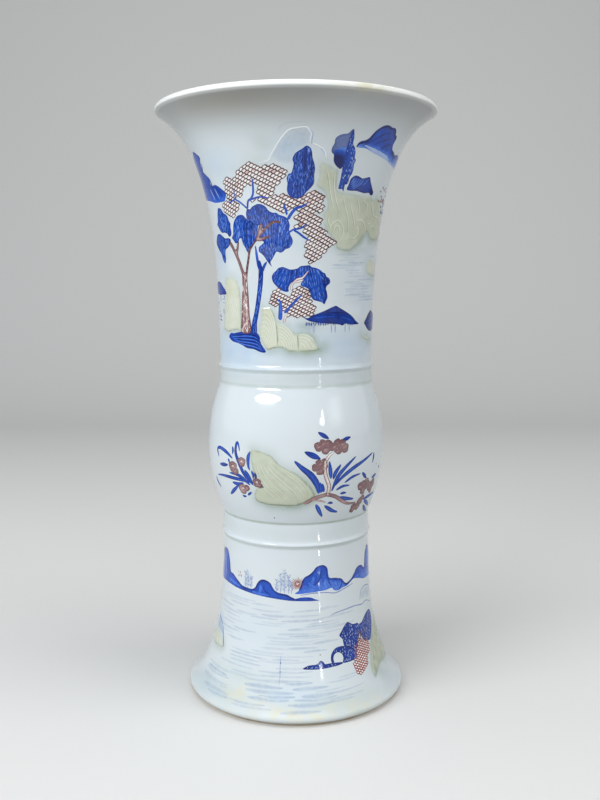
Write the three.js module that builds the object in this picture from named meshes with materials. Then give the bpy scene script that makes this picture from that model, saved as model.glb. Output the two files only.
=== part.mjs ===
import * as THREE from "three";

// Gu-shaped beaker vase in glazed porcelain, millimetres, +Z up, standing on z = 0.
// Three thrown sections are luted end to end with slip, and a floor disc is luted inside the foot.

// Heights of what is stacked, from the foot ring up
const footSectionHeight = 123.6;
const lowerRibHeight = 3;
const bulbSectionHeight = 124.4;
const upperRibHeight = 3;
const neckSectionHeight = 186;

// Outer diameters
const footEdgeDiameter = 167.6;
const footRingDiameter = 159.4;
const waistDiameter = 112.8;
const bulbDiameter = 134.2;
const neckDiameter = 115.6;
const mouthDiameter = 207.6;

// Wall of each section, square to its surface
const footWall = 9.5;
const waistWall = 6.4;
const bulbWall = 6;
const neckWall = 6.2;
const lipThickness = 4.4;

// Flare of the foot and its unglazed ring
const footFlareAngle = 50.5;
const footEdgeRounding = 2.7;
const footEdgeTuckAngle = 50;
const footEdgeRise = 5.2;
const footRingWidth = 9.2;
const footRingLean = 2.4;
const footStraightShare = 0.39;
const footFlareReach = 27.5;

// Bulb between its two plain collars
const lowerCollarHeight = 14;
const upperCollarHeight = 11.4;
const bulbEquatorRise = 50.7;

// Flare of the mouth
const mouthFlareAngle = 59.5;
const neckStraightShare = 0.71;
const mouthFlareReach = 30.5;

// Raised string ribs over the two joins, and the slip squeezed out inside them
const ribProud = 1.2;
const squeezeOut = 0.8;

// Floor disc, pushed up against a shoulder from below, and the slip that holds it
const baseRecess = 9;
const floorThickness = 8;
const floorClearance = 0.3;
const seamSize = 4.5;
const seamHollow = 0.55;

// Fineness of the faceted surfaces
const turnSteps = 64;
const wallSteps = 10;
const roundingSteps = 2;
const ribSteps = 4;

const glaze = { color: 0xdfe6e8, roughness: 0.12, metalness: 0 };
const rawClay = { color: 0xd9cdb6, roughness: 0.75, metalness: 0 };

const lowerRibFoot = footSectionHeight;
const bulbFoot = lowerRibFoot + lowerRibHeight;
const upperRibFoot = bulbFoot + bulbSectionHeight;
const neckFoot = upperRibFoot + upperRibHeight;
const mouthTop = neckFoot + neckSectionHeight;

const waistRadius = waistDiameter / 2;
const neckRadius = neckDiameter / 2;

function at(radius, height) {
  return new THREE.Vector2(radius, height);
}

function radians(degrees) {
  return THREE.MathUtils.degToRad(degrees);
}

// Points of a circle's arc, from one angle to another, counted from straight outwards
function arcPoints(centre, radius, fromDegrees, toDegrees, steps) {
  const points = [];
  for (let step = 0; step <= steps; step += 1) {
    const turn = radians(THREE.MathUtils.lerp(fromDegrees, toDegrees, step / steps));
    points.push(at(centre.x + radius * Math.cos(turn), centre.y + radius * Math.sin(turn)));
  }
  return points;
}

// The inside of a wall whose outer curve runs from an upright joint, up or down, to its flared edge
function insideOf(curve, jointWall, edgeWall) {
  const joint = curve.v0;
  const side = Math.sign(curve.v3.y - joint.y);
  const points = [at(joint.x - jointWall, joint.y)];
  for (let step = 1; step <= wallSteps; step += 1) {
    const share = step / wallSteps;
    const wall = THREE.MathUtils.lerp(jointWall, edgeWall, share);
    const point = curve.getPoint(share);
    const along = curve.getTangent(share);
    points.push(at(point.x - side * wall * along.y, point.y + side * wall * along.x));
  }
  return points;
}

// The part of a falling inner wall above a level, ending on that level
function keepAbove(points, level) {
  const kept = points.filter((point) => point.y > level);
  const above = kept[kept.length - 1];
  const below = points[kept.length];
  const share = (level - below.y) / (above.y - below.y);
  return [...kept, at(THREE.MathUtils.lerp(below.x, above.x, share), level)];
}

// A ring of material turned about the vertical axis; its outline runs up the outside
function turned(name, outline, finish) {
  const geometry = new THREE.LatheGeometry([...outline, outline[0]], turnSteps);
  geometry.rotateX(Math.PI / 2);
  const mesh = new THREE.Mesh(geometry, new THREE.MeshStandardMaterial(finish));
  mesh.name = name;
  return mesh;
}

// Trumpet neck: straight above the rib, flaring to a rounded lip
function neckSection() {
  const lipRadius = lipThickness / 2;
  const lipCentre = at(mouthDiameter / 2 - lipRadius, mouthTop - lipRadius);
  const flare = radians(mouthFlareAngle);
  const flareEnd = at(lipCentre.x + lipRadius * Math.cos(flare), lipCentre.y - lipRadius * Math.sin(flare));
  const outside = new THREE.CubicBezierCurve(
    at(neckRadius, neckFoot),
    at(neckRadius, neckFoot + neckStraightShare * neckSectionHeight),
    at(flareEnd.x - mouthFlareReach * Math.sin(flare), flareEnd.y - mouthFlareReach * Math.cos(flare)),
    flareEnd,
  );
  const lip = [
    ...arcPoints(lipCentre, lipRadius, -mouthFlareAngle, 0, roundingSteps),
    ...arcPoints(lipCentre, lipRadius, 0, 90, roundingSteps).slice(1),
    ...arcPoints(lipCentre, lipRadius, 90, 180 - mouthFlareAngle, 1).slice(1),
  ];
  const inside = insideOf(outside, neckWall, lipThickness);
  const outline = [...outside.getPoints(wallSteps).slice(0, -1), ...lip, ...inside.slice(0, -1).reverse()];
  return turned("neck_section", outline, glaze);
}

// One half of the bulb's side: an arc that is upright at the widest level
function bulbArc(endRadius, endHeight, equatorHeight) {
  const reach = bulbDiameter / 2 - endRadius;
  const rise = endHeight - equatorHeight;
  const arcRadius = (reach * reach + rise * rise) / (2 * reach);
  const sweep = THREE.MathUtils.radToDeg(Math.asin(rise / arcRadius));
  return { centre: at(bulbDiameter / 2 - arcRadius, equatorHeight), radius: arcRadius, sweep };
}

// Bulb with a short plain collar at each end
function bulbSection() {
  const lowerCrease = bulbFoot + lowerCollarHeight;
  const upperCrease = upperRibFoot - upperCollarHeight;
  const equator = lowerCrease + bulbEquatorRise;
  const lower = bulbArc(waistRadius, lowerCrease, equator);
  const upper = bulbArc(neckRadius, upperCrease, equator);
  const outside = [
    at(waistRadius, bulbFoot),
    ...arcPoints(lower.centre, lower.radius, lower.sweep, 0, wallSteps / 2),
    ...arcPoints(upper.centre, upper.radius, 0, upper.sweep, wallSteps / 2).slice(1),
    at(neckRadius, upperRibFoot),
  ];
  const inside = [
    at(neckRadius - neckWall, upperRibFoot),
    ...arcPoints(upper.centre, upper.radius - bulbWall, upper.sweep, 0, wallSteps / 2),
    ...arcPoints(lower.centre, lower.radius - bulbWall, 0, lower.sweep, wallSteps / 2).slice(1),
    at(waistRadius - waistWall, bulbFoot),
  ];
  return turned("bulb_section", [...outside, ...inside], glaze);
}

// Spreading foot: rounded glazed edge, bare contact ring, recess and shoulder for the floor
function footSection() {
  const edgeCentre = at(footEdgeDiameter / 2 - footEdgeRounding, footEdgeRise);
  const flare = radians(footFlareAngle);
  const flareEnd = at(
    edgeCentre.x + footEdgeRounding * Math.cos(flare),
    edgeCentre.y + footEdgeRounding * Math.sin(flare),
  );
  const outside = new THREE.CubicBezierCurve(
    at(waistRadius, footSectionHeight),
    at(waistRadius, footSectionHeight * (1 - footStraightShare)),
    at(flareEnd.x - footFlareReach * Math.sin(flare), flareEnd.y + footFlareReach * Math.cos(flare)),
    flareEnd,
  );
  const shoulder = baseRecess + floorThickness;
  const edge = [
    ...arcPoints(edgeCentre, footEdgeRounding, -footEdgeTuckAngle, 0, roundingSteps),
    ...arcPoints(edgeCentre, footEdgeRounding, 0, footFlareAngle, roundingSteps).slice(1),
  ];
  const outline = [
    at(footRingInside(0), 0),
    at(footRingDiameter / 2, 0),
    ...edge,
    ...outside.getPoints(wallSteps).reverse().slice(1),
    ...keepAbove(insideOf(outside, waistWall, footWall), shoulder),
    at(footRingInside(baseRecess), shoulder),
    at(footRingInside(baseRecess), baseRecess),
  ];
  return turned("foot_section", outline, glaze);
}

// Radius of the foot ring's inner face, which leans in as it rises to the floor
function footRingInside(height) {
  return footRingDiameter / 2 - footRingWidth - footRingLean * (height / baseRecess);
}

// Slip that joins two sections, trimmed outside to a raised string rib
function lutingRib(name, radius, wall, foot, height) {
  const outside = [];
  const inside = [];
  for (let step = 0; step <= ribSteps; step += 1) {
    const swell = Math.sin((Math.PI * step) / ribSteps);
    const level = foot + (height * step) / ribSteps;
    outside.push(at(radius + ribProud * swell, level));
    inside.push(at(radius - wall - squeezeOut * swell, level));
  }
  return turned(name, [...outside, ...inside.reverse()], glaze);
}

// Flat disc that closes the vase above the foot ring
function floorDisc() {
  const radius = footRingInside(baseRecess) - floorClearance;
  const outline = [at(0, baseRecess), at(radius, baseRecess), at(radius, baseRecess + floorThickness)];
  return turned("floor_disc", [...outline, at(0, baseRecess + floorThickness)], glaze);
}

// Hollow fillet of slip in the corner below the disc
function floorSeam() {
  const outer = (height) => footRingInside(height) - floorClearance;
  const outline = [at(outer(baseRecess) - seamSize, baseRecess)];
  outline.push(at(outer(baseRecess) - seamSize * seamHollow, baseRecess - seamSize * (1 - seamHollow)));
  outline.push(at(outer(baseRecess - seamSize), baseRecess - seamSize));
  outline.push(at(outer(baseRecess), baseRecess));
  return turned("floor_seam", outline, rawClay);
}

const vase = new THREE.Group();
vase.add(footSection());
vase.add(floorDisc());
vase.add(floorSeam());
vase.add(lutingRib("lower_rib", waistRadius, waistWall, lowerRibFoot, lowerRibHeight));
vase.add(bulbSection());
vase.add(lutingRib("upper_rib", neckRadius, neckWall, upperRibFoot, upperRibHeight));
vase.add(neckSection());

export default vase;
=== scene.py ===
import math
import random

import bpy
import numpy as np
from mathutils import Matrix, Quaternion, Vector
from mathutils.geometry import delaunay_2d_cdt


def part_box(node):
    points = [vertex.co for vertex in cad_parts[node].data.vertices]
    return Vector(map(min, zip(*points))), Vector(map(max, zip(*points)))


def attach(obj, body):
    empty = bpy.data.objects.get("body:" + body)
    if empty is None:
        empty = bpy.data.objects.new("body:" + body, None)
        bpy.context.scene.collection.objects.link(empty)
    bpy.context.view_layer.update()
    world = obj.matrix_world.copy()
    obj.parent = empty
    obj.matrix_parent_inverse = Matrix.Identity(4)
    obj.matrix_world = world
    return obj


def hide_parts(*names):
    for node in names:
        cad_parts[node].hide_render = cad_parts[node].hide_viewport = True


# Gu vase in glazed porcelain. Sizes are in millimetres and become metres where a mesh is made.
# A place on the wall is (degrees, height): degrees grow to the right, from the middle of the front.

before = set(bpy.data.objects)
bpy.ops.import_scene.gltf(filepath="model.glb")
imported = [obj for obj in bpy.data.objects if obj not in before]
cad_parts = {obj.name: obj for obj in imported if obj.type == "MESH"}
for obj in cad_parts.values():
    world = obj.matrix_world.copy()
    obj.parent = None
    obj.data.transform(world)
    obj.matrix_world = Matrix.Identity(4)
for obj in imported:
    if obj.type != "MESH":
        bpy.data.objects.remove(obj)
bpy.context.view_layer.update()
MM = 0.001


def span(node):
    """Lowest level, highest level and outer radius of a solid."""
    low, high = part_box(node)
    return low.z / MM, high.z / MM, high.x / MM


# Heights and radii that the solids give
_, FOOT_TOP, FOOT_EDGE_RADIUS = span("foot_section")
WAIST_JOIN_LOW, WAIST_JOIN_TOP, LOWER_RIB_RADIUS = span("lower_rib")
NECK_JOIN_LOW, NECK_JOIN_TOP, UPPER_RIB_RADIUS = span("upper_rib")
_, MOUTH_TOP, MOUTH_RADIUS = span("neck_section")
BULB_RADIUS = span("bulb_section")[2]
FLOOR_LOW, FLOOR_TOP, _ = span("floor_disc")

# Sizes of the wall that the boxes of the solids don't give
RIB_PROUD = 1.2
WAIST_RADIUS = LOWER_RIB_RADIUS - RIB_PROUD
NECK_RADIUS = UPPER_RIB_RADIUS - RIB_PROUD
WAIST_WALL = 6.4
NECK_WALL = 6.2
FOOT_WALL = 9.5
SQUEEZE_OUT = 0.8
LIP_RADIUS = 2.2
LIP_FACE = 3.2
LIP_UNDERCUT = 1.05
MOUTH_FLARE = math.radians(59.5)
NECK_STRAIGHT_SHARE = 0.71
MOUTH_FLARE_REACH = 30.5
FOOT_FLARE = math.radians(50.5)
FOOT_EDGE_TUCK = math.radians(50)
FOOT_EDGE_ROUNDING = 2.7
FOOT_EDGE_RISE = 5.2
FOOT_STRAIGHT_SHARE = 0.39
FOOT_FLARE_REACH = 27.5
FOOT_RING_RADIUS = 79.7
FOOT_RING_WIDTH = 9.2
FOOT_RING_LEAN = 2.4
OUTER_HEEL = 0.4
HEEL = 0.5
LOWER_COLLAR_HEIGHT = 14
UPPER_COLLAR_HEIGHT = 11.4
EQUATOR_RISE = 50.7
LOWER_CREASE = WAIST_JOIN_TOP + LOWER_COLLAR_HEIGHT
UPPER_CREASE = NECK_JOIN_LOW - UPPER_COLLAR_HEIGHT
EQUATOR = LOWER_CREASE + EQUATOR_RISE
LOWER_CREASE_SOFTNESS = 0.12
UPPER_CREASE_SOFTNESS = 0.3
LOWER_RIB_MIDDLE = (WAIST_JOIN_LOW + WAIST_JOIN_TOP) / 2
UPPER_RIB_MIDDLE = (NECK_JOIN_LOW + NECK_JOIN_TOP) / 2
RIB_HALF_HEIGHT = 1.45

# Fineness of the bodies
AROUND = 360
WALL_STEP = 1.4
INSIDE_STEP = 2.4 * WALL_STEP
FINE_STEP = 0.45
FINE_REACH = 3.0
CURVE_STEPS = 400
RIB_STEPS = 13
SHARP_CORNER = math.radians(40)


# Profile of the wall

def bezier(*points):
    start, start_pull, end_pull, end = (np.array(point, float) for point in points)
    share = np.linspace(0, 1, CURVE_STEPS + 1)[:, None]
    rest = 1 - share
    near = rest ** 3 * start + 3 * rest ** 2 * share * start_pull
    return near + 3 * rest * share * share * end_pull + share ** 3 * end


def arc(centre, radius, start, end, tall=1.0):
    """Points of an arc, stretched upwards if wanted."""
    steps = max(2, int(abs(end - start) * radius * max(tall, 1) / FINE_STEP))
    turn = np.linspace(start, end, steps + 1)
    return np.stack([centre[0] + radius * np.cos(turn), centre[1] + tall * radius * np.sin(turn)], 1)


def even_steps(points, step, fine_at=()):
    """The same line with its points an even step apart, and finer round some heights."""
    lengths = np.hypot(*np.diff(points, axis=0).T)
    density = np.full(len(lengths), 1 / step)
    for height in fine_at:
        density += (1 / FINE_STEP - 1 / step) * np.exp(-((points[1:, 1] - height) / FINE_REACH) ** 2)
    along = np.concatenate([[0], np.cumsum(lengths * density)])
    wanted = np.linspace(0, along[-1], max(2, int(along[-1])) + 1)
    return np.stack([np.interp(wanted, along, points[:, k]) for k in (0, 1)], 1)


def walled(points, start_wall, end_wall):
    """The line moved in towards the axis, square to itself, by a wall that changes along it."""
    along = np.gradient(points, axis=0)
    along /= np.hypot(along[:, 0], along[:, 1])[:, None]
    side = np.sign(points[-1, 1] - points[0, 1])
    wall = np.linspace(start_wall, end_wall, len(points))
    return points + (side * wall)[:, None] * np.stack([-along[:, 1], along[:, 0]], 1)


def rib_swell(heights):
    """How far the string ribs, softened by the glaze, stand out over the two joins."""
    lower = np.exp(-((heights - LOWER_RIB_MIDDLE) / RIB_HALF_HEIGHT) ** 2)
    upper = np.exp(-((heights - UPPER_RIB_MIDDLE) / RIB_HALF_HEIGHT) ** 2)
    return RIB_PROUD * (lower + upper)


def with_ribs(line):
    return line + np.stack([rib_swell(line[:, 1]), np.zeros(len(line))], 1)


def neck_outside():
    """The neck's wall from the rib up to the lip, and the centre of the lip's rounding."""
    centre = np.array([MOUTH_RADIUS - LIP_RADIUS, MOUTH_TOP - LIP_RADIUS])
    end = centre + LIP_RADIUS * np.array([math.cos(MOUTH_FLARE), -math.sin(MOUTH_FLARE)])
    straight = NECK_JOIN_TOP + NECK_STRAIGHT_SHARE * (MOUTH_TOP - NECK_JOIN_TOP)
    flare = end - MOUTH_FLARE_REACH * np.array([math.sin(MOUTH_FLARE), math.cos(MOUTH_FLARE)])
    return bezier((NECK_RADIUS, NECK_JOIN_TOP), (NECK_RADIUS, straight), flare, end), centre


def foot_outside():
    """The foot's wall from the waist down to its flared edge, and the centre of the edge's rounding."""
    centre = np.array([FOOT_EDGE_RADIUS - FOOT_EDGE_ROUNDING, FOOT_EDGE_RISE])
    end = centre + FOOT_EDGE_ROUNDING * np.array([math.cos(FOOT_FLARE), math.sin(FOOT_FLARE)])
    straight = FOOT_TOP * (1 - FOOT_STRAIGHT_SHARE)
    flare = end + FOOT_FLARE_REACH * np.array([-math.sin(FOOT_FLARE), math.cos(FOOT_FLARE)])
    return bezier((WAIST_RADIUS, FOOT_TOP), (WAIST_RADIUS, straight), flare, end), centre


def swelling(heights, end_radius, end_height):
    """Radius of the bulb on the half that ends at a crease."""
    reach = BULB_RADIUS - end_radius
    rise = end_height - EQUATOR
    radius = (reach * reach + rise * rise) / (2 * reach)
    return BULB_RADIUS - radius + np.sqrt(np.maximum(radius * radius - (heights - EQUATOR) ** 2, 0))


def soft_top(a, b, softness):
    """The larger of two, with a soft passage between them."""
    return b + softness * np.logaddexp(0, (a - b) / softness)


def bulb_outside():
    heights = np.linspace(WAIST_JOIN_TOP, NECK_JOIN_LOW, CURVE_STEPS)
    below = soft_top(swelling(heights, WAIST_RADIUS, LOWER_CREASE), WAIST_RADIUS, LOWER_CREASE_SOFTNESS)
    above = soft_top(swelling(heights, NECK_RADIUS, UPPER_CREASE), NECK_RADIUS, UPPER_CREASE_SOFTNESS)
    radii = np.where(heights < EQUATOR, below, above)
    radii[0] = WAIST_RADIUS
    radii[-1] = NECK_RADIUS
    return np.stack([radii, heights], 1)


def rib_outside(radius, low, high):
    return np.stack([np.full(RIB_STEPS, radius), np.linspace(low, high, RIB_STEPS)], 1)


NECK_LINE, LIP_CENTRE = neck_outside()
FOOT_LINE, FOOT_EDGE_CENTRE = foot_outside()
NECK_LINE = with_ribs(NECK_LINE)
FOOT_LINE = with_ribs(FOOT_LINE)
BULB_LINE = with_ribs(bulb_outside())
LOWER_RIB_LINE = with_ribs(rib_outside(WAIST_RADIUS, WAIST_JOIN_LOW, WAIST_JOIN_TOP))
UPPER_RIB_LINE = with_ribs(rib_outside(NECK_RADIUS, NECK_JOIN_LOW, NECK_JOIN_TOP))
WHOLE_LINE = np.concatenate([FOOT_LINE[::-1], LOWER_RIB_LINE, BULB_LINE, UPPER_RIB_LINE, NECK_LINE])


def radius_at(heights):
    return np.interp(heights, WHOLE_LINE[:, 1], WHOLE_LINE[:, 0])


def degree_width(heights):
    """Millimetres that one degree measures round the wall."""
    return radius_at(heights) * math.pi / 180


def throwing(degrees, heights):
    """The slight unevenness of a thrown and turned wall."""
    turn = np.radians(degrees)
    oval = 0.10 * np.sin(2 * turn + 0.7 + heights / 90)
    lobes = 0.05 * np.sin(3 * turn - heights / 31)
    rings = 0.045 * np.sin(heights / 4.1 + 0.8 * np.sin(turn))
    ripple = 0.03 * np.sin(heights / 2.3 + turn)
    return oval + lobes + rings + ripple


def turned_point(degrees, radii, heights):
    turn = np.radians(degrees)
    return np.stack([radii * np.sin(turn), -radii * np.cos(turn), heights], -1)


def steepness(heights, reach=0.1):
    return (radius_at(heights + reach) - radius_at(heights - reach)) / (2 * reach)


def surface(degrees, heights, lift=0.0):
    """Points of the glazed wall, with the relief on it, lifted along the wall's normal."""
    slope = steepness(heights)
    proud = (lift + relief(degrees, heights)) / np.sqrt(1 + slope * slope)
    radii = radius_at(heights) + throwing(degrees, heights) + proud
    return turned_point(degrees, radii, heights - slope * proud)


def surface_normals(degrees, heights, reach=0.3):
    turn = reach / degree_width(heights)
    right = surface(degrees + turn, heights) - surface(degrees - turn, heights)
    up = surface(degrees, heights + reach) - surface(degrees, heights - reach)
    normals = np.cross(right, up)
    return normals / np.linalg.norm(normals, axis=1)[:, None]


# Lines and fillings on the wall, as places of degrees and height

def smooth(points, closed=False, step=0.8):
    """A smooth line through given places, with its own places an even step apart."""
    anchors = np.asarray(points, float)
    if closed:
        ring = np.vstack([anchors[-1:], anchors, anchors[:2]])
    else:
        ring = np.vstack([2 * anchors[0] - anchors[1], anchors, 2 * anchors[-1] - anchors[-2]])
    before, start, end, after = ring[:-3], ring[1:-2], ring[2:-1], ring[3:]
    share = np.linspace(0, 1, 8, endpoint=False)[:, None, None]
    bend = 2 * before - 5 * start + 4 * end - after + share * (3 * (start - end) + after - before)
    line = start + 0.5 * share * (end - before + share * bend)
    line = np.vstack([line.transpose(1, 0, 2).reshape(-1, 2), end[-1]])
    wide = degree_width(anchors[:, 1].mean())
    along = np.concatenate([[0], np.cumsum(np.hypot(np.diff(line[:, 0]) * wide, np.diff(line[:, 1])))])
    wanted = np.linspace(0, along[-1], max(3, round(along[-1] / step)) + 1)
    even = np.stack([np.interp(wanted, along, line[:, k]) for k in (0, 1)], 1)
    return even[:-1] if closed else even


def flat_ring(outline):
    """A smooth closed outline laid flat in millimetres, and the millimetres of a degree there."""
    ring = smooth(np.array(outline, float), closed=True)
    wide = degree_width(ring[:, 1].mean())
    return ring * (wide, 1), wide


def depth_inside(points, ring):
    """How far each flat point lies inside a closed ring; less than nothing outside it."""
    side = np.roll(ring, -1, axis=0) - ring
    to_point = points[:, None] - ring
    share = np.clip((to_point * side).sum(2) / (side * side).sum(1), 0, 1)
    gap = to_point - share[..., None] * side
    distance = np.sqrt((gap * gap).sum(2)).min(1)
    height = points[:, 1:2]
    spans = (ring[:, 1] > height) != (ring[:, 1] + side[:, 1] > height)
    rise = np.where(side[:, 1] == 0, 1, side[:, 1])
    left_of = points[:, :1] < ring[:, 0] + side[:, 0] * (height - ring[:, 1]) / rise
    inside = (spans & left_of).sum(1) % 2 == 1
    return np.where(inside, distance, -distance)


def filled(outlines, step):
    """Triangles that fill closed outlines: their places, faces and depths inside."""
    wide = degree_width(outlines[0][:, 1].mean())
    rings = [outline * (wide, 1) for outline in outlines]
    corners = np.vstack(rings)
    low, high = corners.min(0), corners.max(0)
    grid = []
    for row, y in enumerate(np.arange(low[1] + step / 2, high[1], step * 0.87)):
        grid += [(x, y) for x in np.arange(low[0] + (row % 2) * step / 2, high[0], step)]
    grid = np.array(grid).reshape(-1, 2)
    deep = np.max([depth_inside(grid, ring) for ring in rings], axis=0)
    grid = grid[deep > 0.55 * step]
    starts = np.cumsum([0] + [len(ring) for ring in rings])
    loops = [list(range(start, end)) for start, end in zip(starts[:-1], starts[1:])]
    points = [Vector(point) for point in np.vstack([corners, grid])]
    result = delaunay_2d_cdt(points, [], loops, 1, 1e-4)
    flat = np.array([tuple(point) for point in result[0]])
    faces = np.array([tuple(face) for face in result[2]])
    a, b, c = (flat[faces[:, k]] for k in range(3))
    turned_over = np.cross(b - a, c - a) < 0
    faces[turned_over] = faces[turned_over][:, ::-1]
    depth = np.max([depth_inside(flat, ring) for ring in rings], axis=0)
    return flat / (wide, 1), faces.tolist(), np.maximum(depth, 0)


def turned_to(points, turn, mirror):
    """Places of a motif moved round the vase, and mirrored if wanted."""
    places = np.array(points, float)
    places[:, 0] = turn + (-places[:, 0] if mirror else places[:, 0])
    return places[::-1] if mirror else places


# Rocks in low relief under pale green glaze, with carved lines

class Rock:
    """Where a rock lies and how it looks: how proud it stands, how strong the pooled glaze round it is,
    its tone, the depth of its combed lines and of the painted light and shade across them, and the width of
    its soft edge."""

    def __init__(self, name, outline, grooves, folds, turn, mirror, look):
        self.name = name
        self.outline = smooth(turned_to(outline, turn, mirror), closed=True)
        self.wide = degree_width(self.outline[:, 1].mean())
        self.ring = self.outline * (self.wide, 1)
        self.grooves = [smooth(turned_to(line, turn, mirror)) for line in grooves]
        self.folds = [smooth(turned_to(line, turn, mirror)) for line in folds]
        self.middle = self.outline.mean(axis=0)
        self.proud, self.halo, self.tone, self.comb, self.fade = look
        self.low = self.ring.min(axis=0)
        self.high = self.ring.max(axis=0)

    def flat(self, degrees, heights):
        nearest = from_middle(degrees, self.middle[0]) + self.middle[0]
        return np.stack([nearest * self.wide, heights], -1)

    def near(self, points, margin):
        return ((points > self.low - margin) & (points < self.high + margin)).all(axis=1)

    def swelling(self, depth):
        return self.proud * (1 - np.exp(-np.maximum(depth, 0) / 3.0))


ROCKS = []


def from_middle(degrees, middle):
    """Degrees counted from a middle, the shorter way round."""
    return (degrees - middle + 180) % 360 - 180


def relief(degrees, heights):
    """How proud the rocks stand."""
    degrees, heights = np.broadcast_arrays(np.asarray(degrees, float), heights)
    raised = np.zeros(degrees.shape)
    for rock in ROCKS:
        points = rock.flat(degrees.ravel(), heights.ravel())
        near = rock.near(points, 0)
        if near.any():
            swelling = rock.swelling(depth_inside(points[near], rock.ring))
            raised.ravel()[near] = np.maximum(raised.ravel()[near], swelling)
    return raised


# Soft tints in the glaze, with painted shade and a painted highlight among them

def peak(degrees, heights, middle, level, half_turn, half_height):
    """1 at a middle, fading to 0 around it."""
    return np.exp(-(from_middle(degrees, middle) / half_turn) ** 2 - ((heights - level) / half_height) ** 2)


# Half width, in degrees, of a patch that is as strong all the way round
ALL_ROUND = 2000
# For each tint: degrees, height, half width in degrees, half height and strength of each patch
SOFT_PATCHES = {
    "celadon_and_shade": [
        (-20, 395, 14, 5, 0.2), (-28, 390, 20, 5, 0.16), (8, 283, 9, 4, 0.6), (18, 268, 7, 5, 0.65),
        (40, 337, 18, 3.5, 0.4), (62, 275, 9, 3, 0.55), (-71, 42, 8, 6, 0.75), (-40, 26, 30, 12, 0.2),
        (70, 40, 14, 22, 0.5), (-50, 14, 30, 8, 0.3), (30, 12, 30, 7, 0.3), (-34, 343, 5, 9, 0.25),
        (-17, 405, 6, 8, 0.2), (6, 292, 9, 4, 0.35), (62, 22, 12, 8, 0.35), (33, 6, 9, 2, 0.4),
        # Rings just below the ribs, at the creases and beside them: pooled glaze and painted shade
        (0, LOWER_RIB_MIDDLE - 2.3, ALL_ROUND, 0.8, 0.42), (0, UPPER_RIB_MIDDLE - 2.4, ALL_ROUND, 0.8, 0.42),
        (0, LOWER_CREASE + 0.6, ALL_ROUND, 0.9, 0.8), (0, UPPER_CREASE + 1.0, ALL_ROUND, 1.5, 0.42),
        (0, UPPER_CREASE + 6, ALL_ROUND, 6, 0.16), (0, LOWER_CREASE - 6, ALL_ROUND, 6, 0.1),
    ],
    "haze": [
        (-48, 266, 34, 13, 0.9), (40, 268, 40, 14, 0.55), (5, 262, 60, 7, 0.35), (-63, 332, 8, 13, 0.55),
        (-15, 306, 9, 10, 0.15), (-2, 400, 9, 9, 0.5), (12, 340, 16, 6, 0.25), (60, 312, 22, 20, 0.3),
        (-20, 345, 10, 22, 0.15), (175, 267, 60, 13, 0.6), (130, 330, 14, 16, 0.4), (225, 320, 15, 18, 0.4),
        (174, 402, 9, 9, 0.45), (-3, 18, 14, 7, 0.45), (-62, 12, 18, 7, 0.3), (178, 20, 20, 8, 0.4),
        (-71, 55, 6, 7, 0.7), (-30, 60, 30, 20, 0.12), (5, 283, 10, 4, 0.5), (-50, 395, 16, 10, 0.4),
    ],
    "warm": [
        (-6, 9, 20, 3.5, 0.8), (16, 7, 9, 2.5, 0.9), (38, 9, 14, 4, 0.5), (-34, 16, 12, 6, 0.45),
        (0, 5, 90, 3, 0.35), (8, 11, 26, 6, 0.3), (-16, 12, 8, 4, 0.5), (160, 9, 40, 3.5, 0.4),
        (240, 12, 20, 4, 0.4),
    ],
    # Painted shade under the flare of the mouth, all round and most at the front left
    "lip_underside_shade": [(0, MOUTH_TOP - 8, ALL_ROUND, 13, 0.55), (-25, MOUTH_TOP - 8, 62, 14, 1.0)],
}
LIP_WEAR = [(29, MOUTH_TOP - 2, 11, 4, 0.75), (150, MOUTH_TOP - 2, 40, 4, 0.4)]
LIT_LIP_DEPTH = 5.2
POOL_REACH = 14
POOL_FADE = 3.4


def strongest(patches, degrees, heights):
    return np.max([strength * peak(degrees, heights, *patch) for *patch, strength in patches], axis=0)


def pooled_glaze(rock, points):
    """The green of the glaze that pools round a rock, most at its lower right."""
    away = np.maximum(-depth_inside(points, rock.ring), 0)
    heading = points - rock.middle * (rock.wide, 1)
    heading /= np.maximum(np.hypot(*heading.T), 1)[:, None]
    lower_right = 0.4 + 0.6 * np.clip(heading @ (0.6, -0.8), 0, 1)
    return rock.halo * lower_right * np.exp(-(away / POOL_FADE) ** 1.3)


def soft_tints(degrees, heights, outside):
    """How strongly each soft tint colours the glaze at each place, painted shade and a painted highlight
    among them.
    """
    tints = {tint: strongest(patches, degrees, heights) * outside for tint, patches in SOFT_PATCHES.items()}
    for rock in ROCKS:
        points = rock.flat(degrees, heights)
        near = rock.near(points, POOL_REACH) & (np.broadcast_to(outside, points.shape[:1]) > 0.5)
        if near.any():
            tints["celadon_and_shade"][near] = np.maximum(tints["celadon_and_shade"][near], pooled_glaze(rock, points[near]))
    tints["warm"] = np.maximum(tints["warm"], strongest(LIP_WEAR, degrees, heights))
    # A painted highlight: the outer face of the lip is made lighter, as if lit from above
    tints["rim"] = np.clip((heights - (MOUTH_TOP - LIT_LIP_DEPTH)) / 1.2, 0, 1) * outside
    return tints


# Meshes

def in_scene(name, data):
    """A new object of the scene that shows a mesh, a camera or a lamp."""
    shown = bpy.data.objects.new(name, data)
    bpy.context.scene.collection.objects.link(shown)
    return shown


def new_mesh(name, vertices, faces, materials):
    mesh = bpy.data.meshes.new(name)
    mesh.from_pydata(vertices, [], faces)
    for material in materials:
        mesh.materials.append(material)
    mesh.shade_smooth()
    return mesh


def mesh_object(name, vertices, faces, materials):
    piece = in_scene(name, new_mesh(name, (np.asarray(vertices) * MM).tolist(), faces, materials))
    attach(piece, "root")
    return piece


def add_attribute(piece, name, values):
    attribute = piece.data.attributes.new(name, "FLOAT", "POINT")
    attribute.data.foreach_set("value", np.asarray(values, np.float32))


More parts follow.
